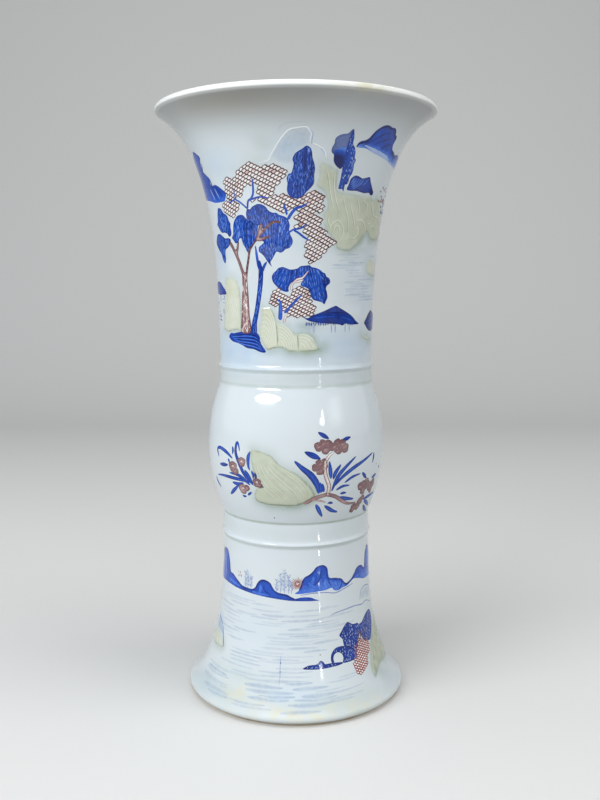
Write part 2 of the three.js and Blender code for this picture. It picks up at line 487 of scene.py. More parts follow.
def add_tints(piece, degrees, heights, outside=1.0):
    for name, values in soft_tints(degrees, heights, outside).items():
        add_attribute(piece, name, values)


def add_bake_map(piece, corners):
    layer = piece.data.uv_layers.new(name="OFBake")
    layer.data.foreach_set("uv", np.asarray(corners, np.float32).ravel())


def corner_values(piece, values):
    """Values of the vertices, repeated for every corner of every face."""
    corners = np.empty(len(piece.data.loops), np.int32)
    piece.data.loops.foreach_get("vertex_index", corners)
    return values[corners]


def turned_body(name, node, outline, materials, bare_below=None):
    """A closed ring turned from an outline that runs up the outside and down the inside."""
    degrees = np.arange(AROUND) * 360 / AROUND
    shares = map_shares(outline)
    rows = len(outline)
    shape = (rows, AROUND)
    around = np.broadcast_to(degrees, shape)
    heights = np.broadcast_to(outline[:, 1][:, None], shape)
    outer = np.broadcast_to(outline[:, 2][:, None], shape)
    radii = outline[:, 0][:, None] + throwing(around, heights) * outer
    vertices = turned_point(around, radii, heights).reshape(-1, 3)
    row, column = np.meshgrid(np.arange(rows), np.arange(AROUND), indexing="ij")
    next_row = (row + 1) % rows
    next_column = (column + 1) % AROUND
    corners = [row * AROUND + column, row * AROUND + next_column]
    corners += [next_row * AROUND + next_column, next_row * AROUND + column]
    faces = np.stack([corner.ravel() for corner in corners], 1)
    piece = mesh_object(name, vertices, faces.tolist(), materials)
    low, high = shares[row], np.append(shares, 1)[row + 1]
    left, right = column / AROUND, (column + 1) / AROUND
    flat = [left, low, right, low, right, high, left, high]
    add_bake_map(piece, np.stack([side.ravel() for side in flat], 1))
    piece.data.set_sharp_from_angle(angle=SHARP_CORNER)
    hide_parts(node)
    add_tints(piece, around.ravel(), heights.ravel(), outer.ravel())
    if bare_below is not None:
        middle = vertices[faces].mean(axis=1)
        edge = bare_below + ragged(np.arctan2(middle[:, 0], -middle[:, 1]))
        piece.data.polygons.foreach_set("material_index", (middle[:, 2] < edge).astype(np.int32))


def ragged(turn):
    """How the lower edge of the glaze wanders up and down round the foot."""
    return 0.35 * np.sin(3 * turn) + 0.25 * np.sin(11 * turn + 1) + 0.15 * np.sin(29 * turn)


def ring_outline(outside, inside):
    """One outline of an outer line going up and an inner one going down: radius, height, outer or not."""
    outer = np.column_stack([outside, np.ones(len(outside))])
    inner = np.column_stack([inside, np.zeros(len(inside))])
    return np.concatenate([outer, inner])


def map_shares(outline, outer_share=0.72):
    """Each outline point's place, 0 to 1, up the bake map, most of which the outside gets."""
    steps = np.hypot(*np.diff(outline[:, :2], axis=0, append=outline[:1, :2]).T)
    outer = outline[:, 2] > 0.5
    weight = np.where(outer, outer_share / steps[outer].sum(), (1 - outer_share) / steps[~outer].sum())
    return np.concatenate([[0], np.cumsum(steps * weight)[:-1]])


# Materials

class Nodes:
    """Short calls for the nodes of a material or a world."""

    def __init__(self, owner):
        owner.use_nodes = True
        self.owner = owner
        self.tree = owner.node_tree
        self.tree.nodes.clear()

    def add(self, kind, **settings):
        node = self.tree.nodes.new(kind)
        for key, value in settings.items():
            setattr(node, key, value)
        return node

    def link(self, source, target):
        self.tree.links.new(source, target)

    def value(self, socket, value):
        if isinstance(value, bpy.types.NodeSocket):
            self.link(value, socket)
        else:
            socket.default_value = value

    def attribute(self, name):
        return self.add("ShaderNodeAttribute", attribute_name=name).outputs["Fac"]

    def noise(self, scale, detail=2.0, roughness=0.5, stretch=1.0):
        """Noise in the object's own space; stretch below 1 draws it out upwards."""
        coordinates = self.add("ShaderNodeTexCoord")
        mapping = self.add("ShaderNodeMapping")
        mapping.inputs["Scale"].default_value = (1, 1, stretch)
        node = self.add("ShaderNodeTexNoise")
        self.link(coordinates.outputs["Object"], mapping.inputs["Vector"])
        self.link(mapping.outputs["Vector"], node.inputs["Vector"])
        node.inputs["Scale"].default_value = scale
        node.inputs["Detail"].default_value = detail
        node.inputs["Roughness"].default_value = roughness
        return node.outputs["Fac"]

    def math(self, operation, a, b, clamp=False):
        node = self.add("ShaderNodeMath", operation=operation, use_clamp=clamp)
        self.value(node.inputs[0], a)
        self.value(node.inputs[1], b)
        return node.outputs[0]

    def reach(self, value, low, high, to_low=0.0, to_high=1.0):
        """A value's way from low to high, eased, as one from to_low to to_high."""
        node = self.add("ShaderNodeMapRange", interpolation_type="SMOOTHSTEP")
        self.value(node.inputs["Value"], value)
        node.inputs["From Min"].default_value = low
        node.inputs["From Max"].default_value = high
        node.inputs["To Min"].default_value = to_low
        node.inputs["To Max"].default_value = to_high
        return node.outputs["Result"]

    def mottled(self, name, grain, uneven, strength, clamp=False):
        """An attribute's value, made uneven by noise of a scale and a detail."""
        noise = self.reach(self.noise(*grain), *uneven, *strength)
        return self.math("MULTIPLY", self.attribute(name), noise, clamp)

    def drift(self, grain, amount, **shape):
        """Noise that swings both ways round nothing."""
        return self.math("MULTIPLY", self.math("SUBTRACT", self.noise(*grain, **shape), 0.5), amount)

    def mix(self, factor, a, b, blend="MIX"):
        node = self.add("ShaderNodeMix", data_type="RGBA", blend_type=blend)
        for place, value in ((0, factor), (6, a), (7, b)):
            self.value(node.inputs[place], value)
        return node.outputs[2]

    def ramp(self, factor, stops):
        node = self.add("ShaderNodeValToRGB")
        elements = node.color_ramp.elements
        while len(elements) < len(stops):
            elements.new(0.5)
        for element, (place, colour) in zip(elements, stops):
            element.position = place
            element.color = colour
        self.link(factor, node.inputs["Fac"])
        return node.outputs["Color"]

    def finish(self, colour, roughness, bump=None, bump_distance=0.0001, bump_strength=0.3):
        shader = self.add("ShaderNodeBsdfPrincipled")
        output = self.add("ShaderNodeOutputMaterial")
        self.value(shader.inputs["Base Color"], colour)
        self.value(shader.inputs["Roughness"], roughness)
        shader.inputs["IOR"].default_value = 1.45
        if bump is not None:
            node = self.add("ShaderNodeBump")
            node.inputs["Strength"].default_value = bump_strength
            node.inputs["Distance"].default_value = bump_distance
            self.link(bump, node.inputs["Height"])
            self.link(node.outputs["Normal"], shader.inputs["Normal"])
        self.link(shader.outputs["BSDF"], output.inputs["Surface"])
        return self.owner


def material_nodes(name):
    return Nodes(bpy.data.materials.new(name))


def shade(red, green, blue):
    """A display colour, 0 to 255, as the linear colour that materials take."""
    linear = []
    for value in (red, green, blue):
        share = value / 255
        linear.append(share / 12.92 if share <= 0.04045 else ((share + 0.055) / 1.055) ** 2.4)
    return (*linear, 1.0)


GLAZE_WHITE = shade(226, 233, 236)
GLAZE_COOL = shade(214, 226, 233)
GLAZE_LIT_LIP = shade(250, 253, 251)
GLAZE_UNDERSIDE_SHADE = shade(174, 174, 168)
POOLED_CELADON_AND_SHADE = shade(160, 178, 164)
HAZE_BLUE = shade(190, 214, 238)
WORN_CREAM = shade(226, 220, 184)
KILN_SPECK = shade(70, 58, 48)
CLAY = shade(205, 193, 168)
CLAY_BURNT = shade(168, 140, 108)
WATER_BLUE = shade(152, 174, 200)
ROCK_RIDGE = shade(238, 242, 230)
ROCK_CELADON = shade(222, 227, 212)
ROCK_POOL_AND_SHADE = shade(192, 200, 180)
ROCK_DEEP = shade(140, 150, 126)
ROCK_YELLOW = shade(252, 249, 238)
SLIP_WHITE = shade(238, 246, 250)
SLIP_SHADOW = shade(150, 162, 164)


def shades(*stops):
    """Tones, 0 to 1, each with the display colour that the paint has there."""
    return [(tone, shade(*colour)) for tone, *colour in stops]


COBALT = shades(
    (0, 164, 196, 246), (0.25, 86, 134, 230), (0.5, 30, 86, 198), (0.75, 20, 60, 158), (1, 10, 28, 100)
)
THIN_COBALT = shades((0, 196, 208, 228), (0.35, 128, 146, 194), (0.6, 84, 104, 164), (1, 30, 44, 96))
COPPER_RED = shades(
    (0, 255, 251, 250), (0.16, 252, 245, 243), (0.3, 208, 178, 174), (0.5, 142, 110, 114),
    (0.8, 106, 66, 68), (1, 72, 32, 32)
)
RUST_RED = shades(
    (0, 255, 251, 250), (0.16, 252, 244, 240), (0.4, 206, 152, 142), (0.7, 184, 106, 94), (1, 142, 62, 54)
)


def glaze_colour(nodes):
    """Bluish white glaze with its soft tints (painted shade under the mouth's flare, at the creases and below
    the ribs, and a painted highlight on the lip among them) and a few dark kiln specks.
    """
    colour = nodes.mix(nodes.noise(14, 3), GLAZE_WHITE, GLAZE_COOL)
    tints = [
        (nodes.mottled("haze", (70, 3), (0.25, 0.75), (0.7, 1.1)), HAZE_BLUE),
        # Celadon patches, pooled glaze round the rocks, and painted shade at the creases and below the ribs
        (nodes.mottled("celadon_and_shade", (110, 2), (0.2, 0.8), (0.75, 1.1)), POOLED_CELADON_AND_SHADE),
        # Painted shade under the mouth's flare
        (nodes.attribute("lip_underside_shade"), GLAZE_UNDERSIDE_SHADE),
        # Painted highlight on the lip
        (nodes.attribute("rim"), GLAZE_LIT_LIP),
        (nodes.mottled("warm", (95, 4), (0.35, 0.65), (0.15, 1.0)), WORN_CREAM),
    ]
    for strength, tint in tints:
        colour = nodes.mix(strength, colour, tint)
    specks = nodes.add("ShaderNodeTexVoronoi", feature="F1")
    specks.inputs["Scale"].default_value = 55
    nodes.link(nodes.add("ShaderNodeTexCoord").outputs["Object"], specks.inputs["Vector"])
    spot = nodes.reach(specks.outputs["Distance"], 0.010, 0.020, 0.5, 0.0)
    return nodes.mix(spot, colour, KILN_SPECK)


def glazed(nodes, colour):
    """A colour under the glaze's own gloss, with the faint orange peel of its surface."""
    roughness = nodes.reach(nodes.noise(40), 0.3, 0.7, 0.05, 0.09)
    return nodes.finish(colour, roughness, nodes.noise(300, 3), 0.00003, 0.25)


def glaze_material():
    nodes = material_nodes("glaze")
    return glazed(nodes, glaze_colour(nodes))


def brushed_tone(nodes, unevenness):
    """The tone of the brushwork, uneven as ground pigment is under glaze."""
    broad = nodes.drift((110, 3), unevenness, stretch=0.5)
    fine = nodes.drift((700, 2), 0.5 * unevenness)
    return nodes.math("ADD", nodes.attribute("tone"), nodes.math("ADD", broad, fine), clamp=True)


def painted_material(name, stops, unevenness):
    """Pigment under the glaze: none where its tone is 0, so that washes fade out."""
    nodes = material_nodes(name)
    colour = nodes.ramp(brushed_tone(nodes, unevenness), stops)
    cover = nodes.reach(nodes.attribute("tone"), 0.0, 0.16)
    return glazed(nodes, nodes.mix(cover, glaze_colour(nodes), colour))


def wash_material():
    nodes = material_nodes("water_wash")
    cover = nodes.mottled("tone", (260, 3), (0.3, 0.7), (0.6, 1.1), clamp=True)
    return glazed(nodes, nodes.mix(cover, glaze_colour(nodes), WATER_BLUE))


def rock_material():
    nodes = material_nodes("celadon_rock")
    tone = nodes.math("ADD", nodes.attribute("tone"), nodes.drift((190, 3), 0.35), clamp=True)
    # From pale to dark: the pale end also gives the painted highlights on the combed lines, the dark end the
    # painted shade beside them and along the rock's lower right edge
    colour = nodes.ramp(tone, [(0.0, ROCK_RIDGE), (0.4, ROCK_CELADON), (0.8, ROCK_POOL_AND_SHADE), (1.0, ROCK_DEEP)])
    yellow = nodes.reach(nodes.noise(45, 3), 0.45, 0.75, 0.1, 0.8)
    colour = nodes.mix(yellow, colour, ROCK_YELLOW, "MULTIPLY")
    return glazed(nodes, nodes.mix(nodes.attribute("cover"), glaze_colour(nodes), colour))


def slip_material():
    nodes = material_nodes("raised_slip")
    return glazed(nodes, nodes.mix(nodes.attribute("tone"), SLIP_WHITE, SLIP_SHADOW))


def clay_material():
    nodes = material_nodes("bare_clay")
    colour = nodes.mix(nodes.reach(nodes.noise(120, 4), 0.45, 0.75), CLAY, CLAY_BURNT)
    return nodes.finish(colour, 0.8, nodes.noise(1500, 4), 0.0002, 0.6)


GLAZE = glaze_material()
BARE_CLAY = clay_material()
COBALT_PAINT = painted_material("cobalt_blue", COBALT, 0.5)
THIN_PAINT = painted_material("thin_cobalt", THIN_COBALT, 0.4)
COPPER_PAINT = painted_material("copper_red", COPPER_RED, 0.35)
RUST_PAINT = painted_material("rust_red", RUST_RED, 0.3)
WASH_PAINT = wash_material()
ROCK_GLAZE = rock_material()
SLIP = slip_material()


# Layers of paint

# Each stroke of a layer lies a hair above the one before it, and after HAIRS of them it starts again,
# so that strokes that cross don't share a plane
HAIR = 0.0015
HAIRS = 9
# Places across a soft or raised stroke, from its left edge to its right
ACROSS = (1, 0.5, 0, -0.5, -1)


class Layer:
    """Thin paint of one material, at one lift above the glaze, gathered into one mesh."""

    def __init__(self, name, material, lift):
        self.name = name
        self.material = material
        self.lift = lift
        self.places, self.lifts, self.tones, self.faces = [], [], [], []
        self.count = 0

    def add(self, places, faces, tones, proud=0.0):
        """Adds a stroke or a filling, mostly a hair above the one just before it."""
        hair = HAIR * (len(self.places) % HAIRS)
        self.places.append(np.asarray(places))
        self.lifts.append(np.broadcast_to(proud + hair, len(places)))
        self.tones.append(np.broadcast_to(tones, len(places)))
        self.faces += [[self.count + corner for corner in face] for face in faces]
        self.count += len(places)

    def fill(self, outlines, tone, edge_tone, step=1.6, tone_at=None, edge=0.8):
        """edge is how far in from its outline a filling has the tone of its edge."""
        places, faces, depth = filled(outlines, step)
        tones = tone + (edge_tone - tone) * np.exp(-depth / edge)
        if tone_at is not None:
            tones = tones * tone_at(places[:, 0], places[:, 1])
        self.add(places, faces, tones)

    def ribbon(self, line, width, across, tones, lifts=0.0, start=0.2, end=0.3, blunt=0.15):
        """A stroke with a tone and a lift for each of its places across, 1 at its left edge, -1 at its right.
        It thins out over a share of its start and of its end."""
        share = np.linspace(0, 1, len(line))
        swell = np.minimum(1, np.minimum(share / max(start, 0.01), (1 - share) / max(end, 0.01)))
        half = width / 2 * (blunt + (1 - blunt) * np.sqrt(swell))
        side = side_steps(line) * half[:, None]
        places = np.concatenate([line + side * place for place in across])
        count = len(line)
        faces = []
        for column in range(len(across) - 1):
            for left in range(column * count, column * count + count - 1):
                faces.append([left, left + count, left + count + 1, left + 1])
        lifts = np.broadcast_to(lifts, len(across))
        self.add(places, faces, np.repeat(tones, count), np.repeat(lifts, count))

    def stroke(self, line, width, tone, edge_tone, **shape):
        """A brush stroke, with another tone at its edges if wanted; one with no tone there is soft."""
        if edge_tone is None:
            self.ribbon(line, width, (1, -1), (tone, tone), **shape)
        elif edge_tone == 0:
            self.ribbon(line, width, ACROSS, (0, 0.6 * tone, tone, 0.6 * tone, 0), **shape)
        else:
            self.ribbon(line, width, (1, 0.55, -0.55, -1), (edge_tone, tone, tone, edge_tone), **shape)

    def disc(self, ring, tone):
        """A small filling, fanned out from its middle."""
        count = len(ring)
        faces = [[n, (n + 1) % count, count] for n in range(count)]
        self.add(np.vstack([ring, ring.mean(axis=0)]), faces, tone)

    def make(self, normals):
        if not self.count:
            return None
        degrees, heights = np.concatenate(self.places).T
        lifts = self.lift + np.concatenate(self.lifts)
        vertices = surface(degrees, heights, lifts)
        piece = mesh_object(self.name, vertices, self.faces, [self.material])
        add_attribute(piece, "tone", np.concatenate(self.tones))
        add_tints(piece, degrees, heights)
        places = np.stack([degrees, heights], 1)
        low, high = places.min(axis=0), places.max(axis=0)
        add_bake_map(piece, corner_values(piece, (places - low) / (high - low)))
        if normals:
            piece.data.normals_split_custom_set_from_vertices(surface_normals(degrees, heights))
        return piece


def side_steps(line):
    """For each place of a line, the step in degrees and height that goes 1 mm to its left."""
    wide = degree_width(line[:, 1])
    tall = np.sqrt(1 + steepness(line[:, 1]) ** 2)
    along = np.gradient(line, axis=0) * np.stack([wide, tall], 1)
    along /= np.maximum(np.hypot(*along.T), 1e-6)[:, None]
    return np.stack([-along[:, 1] / wide, along[:, 0] / tall], 1)


# Kind of paint: its material and how proud it stands
KINDS = {
    "wash": (WASH_PAINT, 0.02),
    "thin": (THIN_PAINT, 0.035),
    "ground": (COPPER_PAINT, 0.05),
    "cobalt": (COBALT_PAINT, 0.065),
    "copper": (COPPER_PAINT, 0.08),
    "cobalt_line": (COBALT_PAINT, 0.095),
    "copper_line": (COPPER_PAINT, 0.11),
    "copper_top": (COPPER_PAINT, 0.125),
    "rust": (RUST_PAINT, 0.08),
    "slip": (SLIP, 0.02),
}


class Brush:
    """Paints motifs of one section on one side of the vase, moved round it and mirrored if wanted."""

    def __init__(self, section, side, turn, mirror, seed):
        self.layers = {}
        for kind, (material, lift) in KINDS.items():
            self.layers[kind] = Layer(f"{section}_{side}_{kind}", material, lift)
        self.turn = turn
        self.mirror = mirror
        self.chance = random.Random(seed)

    def at(self, points):
        return turned_to(points, self.turn, self.mirror)

    def fill(self, kind, outline, tone, edge_tone=None, tone_at=None, **shape):
        shaped = smooth(self.at(outline), closed=True)
        edge_tone = tone if edge_tone is None else edge_tone
        tone_at = tone_at and self.own(tone_at)
        self.layers[kind].fill([shaped], tone, edge_tone, tone_at=tone_at, **shape)

    def own(self, tone_at):
        """The same rule of tones, asked in the motif's own degrees."""
        sign = -1 if self.mirror else 1
        return lambda degrees, heights: tone_at(sign * (degrees - self.turn), heights)

    def stroke(self, kind, line, width, tone, edge_tone=None, **shape):
        points = self.at(line)
        if self.mirror:
            points = points[::-1]
        step = min(1.0, 0.5 + width / 2)
        self.layers[kind].stroke(smooth(points, step=step), width, tone, edge_tone, **shape)

    def strokes(self, kind, lines, width, tone, edge_tone=None, **shape):
        for line in lines:
            self.stroke(kind, line, width, tone, edge_tone, **shape)

    def slip_line(self, line, width, height):
        """A raised line of slip, shaded on its right."""
        points = smooth(self.at(line), step=0.7)
        lifts = height * np.array([-0.1, 0.7, 1.0, 0.7, -0.1])
        self.layers["slip"].ribbon(points, width, ACROSS, (0.1, 0.0, 0.0, 0.0, 0.3), lifts)

    def finish(self):
        for kind, layer in self.layers.items():
            layer.make(normals=kind != "slip")


# Ways of painting that motifs share

RAY_STEP = 0.6
# Between which tones the paler strokes in a mass of leaves lie
LEAF_LIGHT = (0.16, 0.34)


def broken_ray(brush, ray, inside, reach):
    """The pieces of a ray that lie inside, each with a length by chance and a gap after it."""
    pieces = []
    step = 0
    while step < len(ray):
        if not inside[step]:
            step += 1
            continue
        wanted = int(brush.chance.uniform(*reach) / RAY_STEP)
        end = step
        while end + 1 < len(ray) and inside[end + 1] and end - step < wanted:
            end += 1
        if end - step >= 2:
            pieces.append(ray[[step, (step + end) // 2, end]])
        step = end + int(brush.chance.uniform(1.5, 3.5))
    return pieces


def fan_lines(brush, outline, root, spacing, reach=(2.5, 6.0), inset=0.5):
    """Broken lines that fan out from a root and stay inside an outline, with each line's number."""
    ring, wide = flat_ring(outline)
    origin = np.array(root, float) * (wide, 1)
    straight = math.atan2(*(ring.mean(axis=0) - origin)[::-1])
    towards = ring - origin
    bearing = (np.arctan2(towards[:, 1], towards[:, 0]) - straight + math.pi) % (2 * math.pi) - math.pi
    distance = np.hypot(*towards.T)
    steps = np.arange(0, distance.max(), RAY_STEP)
    lines = []
    number = 0
    angle = bearing.min()
    while angle < bearing.max():
        angle += spacing / distance.mean() * brush.chance.uniform(0.8, 1.2)
        number += 1
        bend = brush.chance.uniform(-0.05, 0.05)
        heading = straight + angle + bend * np.sin(steps / 6)
        ray = origin + steps[:, None] * np.stack([np.cos(heading), np.sin(heading)], 1)
        pieces = broken_ray(brush, ray, depth_inside(ray, ring) > inset, reach)
        lines += [(number, piece / (wide, 1)) for piece in pieces]
    return lines


def foliage(brush, outline, root, tone=0.58, edge_tone=0.8, spacing=0.48, reach=(2.2, 5.5), light=LEAF_LIGHT):
    """A mass of leaves: a blue wash with darker and paler strokes that fan out over it."""
    brush.fill("cobalt", outline, tone, edge_tone)
    for number, line in fan_lines(brush, outline, root, spacing, reach):
        if number % 2:
            brush.stroke("cobalt_line", line, brush.chance.uniform(0.3, 0.44), brush.chance.uniform(*light))
        else:
            brush.stroke("cobalt_line", line, brush.chance.uniform(0.34, 0.56), brush.chance.uniform(0.82, 1))


def net_knots(brush, ring, cell, lean, slant, wave):
    """The knots of a net's rows, from the lowest; each row starts further along by the lean."""
    low, high = ring.min(axis=0), ring.max(axis=0)
    half = cell[0] / 2
    rows = int((high[1] - low[1] - slant * (high[0] - low[0])) / cell[1]) + 3
    start = low[0] - rows * lean
    columns = int((high[0] - start) / half) + 3
    knots = np.zeros((rows + 1, columns + 1, 2))
    for row in range(rows + 1):
        for column in range(columns + 1):
            x = start + column * half + row * lean + brush.chance.uniform(-0.24, 0.24)
            bend = wave if (row + column) % 2 == 0 else -wave
            knots[row, column] = x, low[1] - 1 + row * cell[1] + slant * (x - low[0]) + bend
    return knots


def fish_scales(brush, outline, cell=(2.05, 3.1), width=0.82, kind="copper", tone=(0.85, 1.0), lean=2.0):
    """A tree's crown as a net of white cells: wavy lines that fall to the right, and short ones between."""
    ring, wide = flat_ring(outline)
    knots = net_knots(brush, ring, cell, lean, slant=-0.5, wave=0.3)
    rows, columns = knots.shape[0] - 1, knots.shape[1] - 1
    level_lines, short_lines = set(), set()
    for row in range(rows):
        for column in range(row % 2, columns - 1, 2):
            corners = np.concatenate([knots[row, column:column + 3], knots[row + 1, column:column + 3][::-1]])
            if depth_inside(corners.mean(axis=0)[None], ring)[0] < 0.25:
                continue
            shine = 0.12 if brush.chance.random() < 0.8 else brush.chance.uniform(0.17, 0.25)
            brush.layers["ground"].disc(brush.at(corners / (wide, 1)), shine)
            level_lines |= {(row + up, column + step) for up in (0, 1) for step in (0, 1)}
            short_lines |= {(row, column), (row, column + 2)}
    for row in range(rows + 1):
        run = []
        for column in range(columns + 1):
            if (row, column) in level_lines:
                run = run or [knots[row, column]]
                run.append(knots[row, column + 1])
            elif run:
                thick = width * brush.chance.uniform(0.9, 1.25)
                level = brush.chance.uniform(*tone)
                brush.stroke(kind, np.array(run) / (wide, 1), thick, level, start=0.02, end=0.02, blunt=0.6)
                run = []
    for row, column in sorted(short_lines):
        foot, top = knots[row, column], knots[row + 1, column]
        line = np.array([foot, (foot + top) / 2 + (-0.22, 0.1), top]) / (wide, 1)
        thick = width * brush.chance.uniform(0.6, 0.95)
        brush.stroke(kind, line, thick, brush.chance.uniform(*tone), blunt=0.6)


def trunk(brush, kind, outline, tone, flecks, fleck_root):
    """A tree trunk with darker edges and a flecked core."""
    brush.fill(kind, outline, tone + 0.18, tone + 0.38, step=1.2)
    for number, line in fan_lines(brush, outline, fleck_root, 0.8, inset=0.35):
        level = brush.chance.uniform(0.15, 0.3) if number % 2 else brush.chance.uniform(0.65, 0.9)
        brush.stroke(kind + "_line", line, brush.chance.uniform(0.3, flecks), level)


def twigs(brush, kind, lines, width, tone=0.55, edge_tone=0.82):
    """Lines that thin out towards their ends, darker at their edges."""
    brush.strokes(kind, lines, width, tone, edge_tone, start=0.05, end=0.35)


def leaf(brush, base, tip, width):
    """A pointed oval leaf with a dark edge and a dark rib."""
    start, end = np.array(base, float), np.array(tip, float)
    reach, scale = end - start, (degree_width(start[1]), 1)
    along = reach * scale
    side = np.array([-along[1], along[0]]) / np.hypot(*along) * width / 2 / scale
    swells = ((0.25, 0.8), (0.5, 1), (0.8, 0.7))
    lower = [start + reach * share - side * swell for share, swell in swells]
    upper = [start + reach * share + side * swell for share, swell in swells]
    brush.fill("cobalt", [start, *lower, end, *upper[::-1]], 0.55, 0.85, step=0.9)
    brush.stroke("cobalt_line", [start, start + 0.9 * (end - start)], 0.4, 0.9)


def blades(brush, lines, width):
    """Grass blades that swell and run out to a point, darker at their edges and paler along their middle."""
    for line in lines:
        brush.stroke("cobalt", line, 1.5 * width, 0.69, 1.0, start=0.3, end=0.5, blunt=0.1)
        brush.stroke("cobalt_line", line, 0.35 * width, 0.49, start=0.4, end=0.6, blunt=0.1)


def lobed(number, centre, size):
    """A ring of places round a petal, in millimetres."""
    turn = np.linspace(0, 2 * math.pi, 25)[:-1]
    lobes = 1 + 0.07 * np.sin(3 * turn + number) + 0.05 * np.sin(5 * turn + 2 * number)
    return centre + (size * lobes)[:, None] * np.stack([np.cos(turn), np.sin(turn)], 1)


def open_runs(hidden):
    """First and last place of each run of a closed ring's places that nothing hides."""
    runs = []
    step = 0
    while step < len(hidden) - 1:
        end = step
        while end + 1 < len(hidden) and not hidden[end]:
            end += 1
        if end - step >= 3:
            runs.append((step, end))
        step = end + 1
    return runs


def cloud(brush, circles, tone=0.47, line_tone=0.8):
    """Rounded petals or berries, mottled, and outlined where they don't lie over each other."""
    scale = (degree_width(circles[0][1]), 1)
    centres = [np.array((degrees, height)) * scale for degrees, height, _ in circles]
    sizes = [radius for _, _, radius in circles]
    rings = [lobed(number, centre, size) for number, (centre, size) in enumerate(zip(centres, sizes))]
    brush.layers["copper"].fill([brush.at(ring / scale) for ring in rings], tone, tone + 0.16, step=1.0)
    for number, (ring, centre, size) in enumerate(zip(rings, centres, sizes)):
        others = [other for index, other in enumerate(rings) if index != number]
        covered = np.zeros(len(ring), bool)
        for other in others:
            covered |= depth_inside(ring, other) > 0.2
        closed = np.concatenate([ring, ring[:2]]) / scale
        for first, last in open_runs(np.concatenate([covered, covered[:2]])):
            brush.stroke("copper_line", closed[first:last + 1:2], 0.5, line_tone, start=0.1, end=0.1)
        for mottle in range(5):
            aim = brush.chance.uniform(0, 2 * math.pi)
            dab = centre + size * brush.chance.uniform(0.2, 0.6) * np.array([math.cos(aim), math.sin(aim)])
            dabs = np.array([dab - (0.8, 0.3), dab, dab + (0.7, 0.4)]) / scale
            brush.stroke("copper_line", dabs, brush.chance.uniform(0.5, 1.0), 0.38 if mottle % 2 else 0.6)
        swirl = (ring * 0.5 + centre * 0.5)[number % 7:number % 7 + 13:2]
        brush.stroke("copper_top", swirl / scale, 0.38, line_tone - 0.12)


def paling(level, reach, least, slant=0.0):
    """A rule of tones: pale at a level and full a reach above it, or below it where the reach is negative."""
    def share(degrees, heights):
        return least + (1 - least) * np.clip((heights - level - slant * degrees) / reach, 0, 1)
    return share


def water(brush, sides, levels, count, length=(12, 30), width=(1.8, 3.0), tone=(0.3, 0.58), tilt=0.02):
    """Level strokes of pale water in loose rows, between two sides and two levels, and beside the rocks."""
    left, right = sides
    low, high = levels
    for number in range(count):
        height = low + (high - low) * (number + brush.chance.uniform(0.1, 0.9)) / count
        half = brush.chance.uniform(*length) / 2
        middle = brush.chance.uniform(left + half, right - half)
        sag = brush.chance.uniform(-0.5, 0.5)
        rise = tilt * half
        line = [(middle - half, height - rise), (middle, height + sag), (middle + half, height + rise)]
        placed = brush.at(line)
        if any(rock.near(rock.flat(placed[:, 0], placed[:, 1]), 0).any() for rock in ROCKS):
            continue
        strength = brush.chance.uniform(*tone)
        brush.stroke("wash", line, brush.chance.uniform(*width), strength, 0.0, start=0.3, end=0.5)


# The rocks: outline and carved lines of each, on the front

def between(first, last, count):
    """Lines that pass step by step from one guiding line to another."""
    start, end = np.array(first, float), np.array(last, float)
    return [start + (end - start) * number / (count - 1) for number in range(count)]


LEFT_ROCK = [
    (-65, 280), (-64, 288), (-63, 295), (-61, 302), (-60, 310), (-59, 315), (-57.5, 317.5), (-54, 318.2),
    (-49, 317.5), (-45.5, 316), (-43, 312), (-41.5, 306), (-41.3, 280), (-46, 279.5), (-52, 278.5),
    (-57, 277.5), (-61, 278.5)
]
LEFT_ROCK_GROOVES = between(
    [(-60, 316), (-55, 313), (-50, 306), (-46.5, 297), (-44.5, 286)],
    [(-62.5, 296), (-60, 294), (-57.5, 289), (-56, 284), (-55.3, 280)], 7
)
CENTRE_ROCK = [
    (-24, 298), (-22, 296.8), (-19, 297), (-16.5, 295.5), (-15, 293), (-14, 290), (-12, 286.5), (-8.5, 285),
    (-5.5, 283.5), (-3, 281), (-1, 278.5), (4, 278.7), (8, 278.5), (10.5, 277), (12.5, 274.5), (14, 271.5),
    (15.5, 269), (18, 267), (16.5, 266), (12, 265.3), (7, 264.8), (0, 264.8), (-5, 265.3), (-8, 267.2),
    (-12, 267.8), (-16, 267), (-19.5, 265.8), (-21.5, 266.5), (-23, 269.5), (-25, 273), (-26.8, 280),
    (-25.5, 285), (-24.5, 291)
]
CENTRE_ROCK_GROOVES = [
    *between([(-24.5, 295.5), (-20, 295.5), (-16.8, 291.5), (-15.2, 284), (-14.6, 276), (-14.6, 269)],
             [(-25.6, 275.5), (-23, 276), (-20.8, 273.5), (-19.8, 271), (-19.6, 269), (-19.5, 267.5)], 7),
    *between([(-12.6, 285), (-9, 284), (-5.3, 281), (-2.4, 277), (-0.6, 272), (-0.2, 267)],
             [(-12, 273), (-10.8, 273), (-9.4, 271.6), (-8.5, 270), (-8, 268.8), (-7.8, 267.8)], 6),
    *between([(2.2, 277.6), (6, 277.2), (10, 275.5), (13, 272), (15, 268)],
             [(2.6, 271), (4, 271), (5.4, 269.8), (6, 268.4), (6.2, 267.3)], 4),
]
CENTRE_ROCK_FOLDS = [
    [(-14.3, 287.5), (-13.4, 281), (-13, 275), (-13.2, 268.5)],
    [(0.6, 278.5), (1.2, 274), (1.4, 270), (1.5, 266)]
]
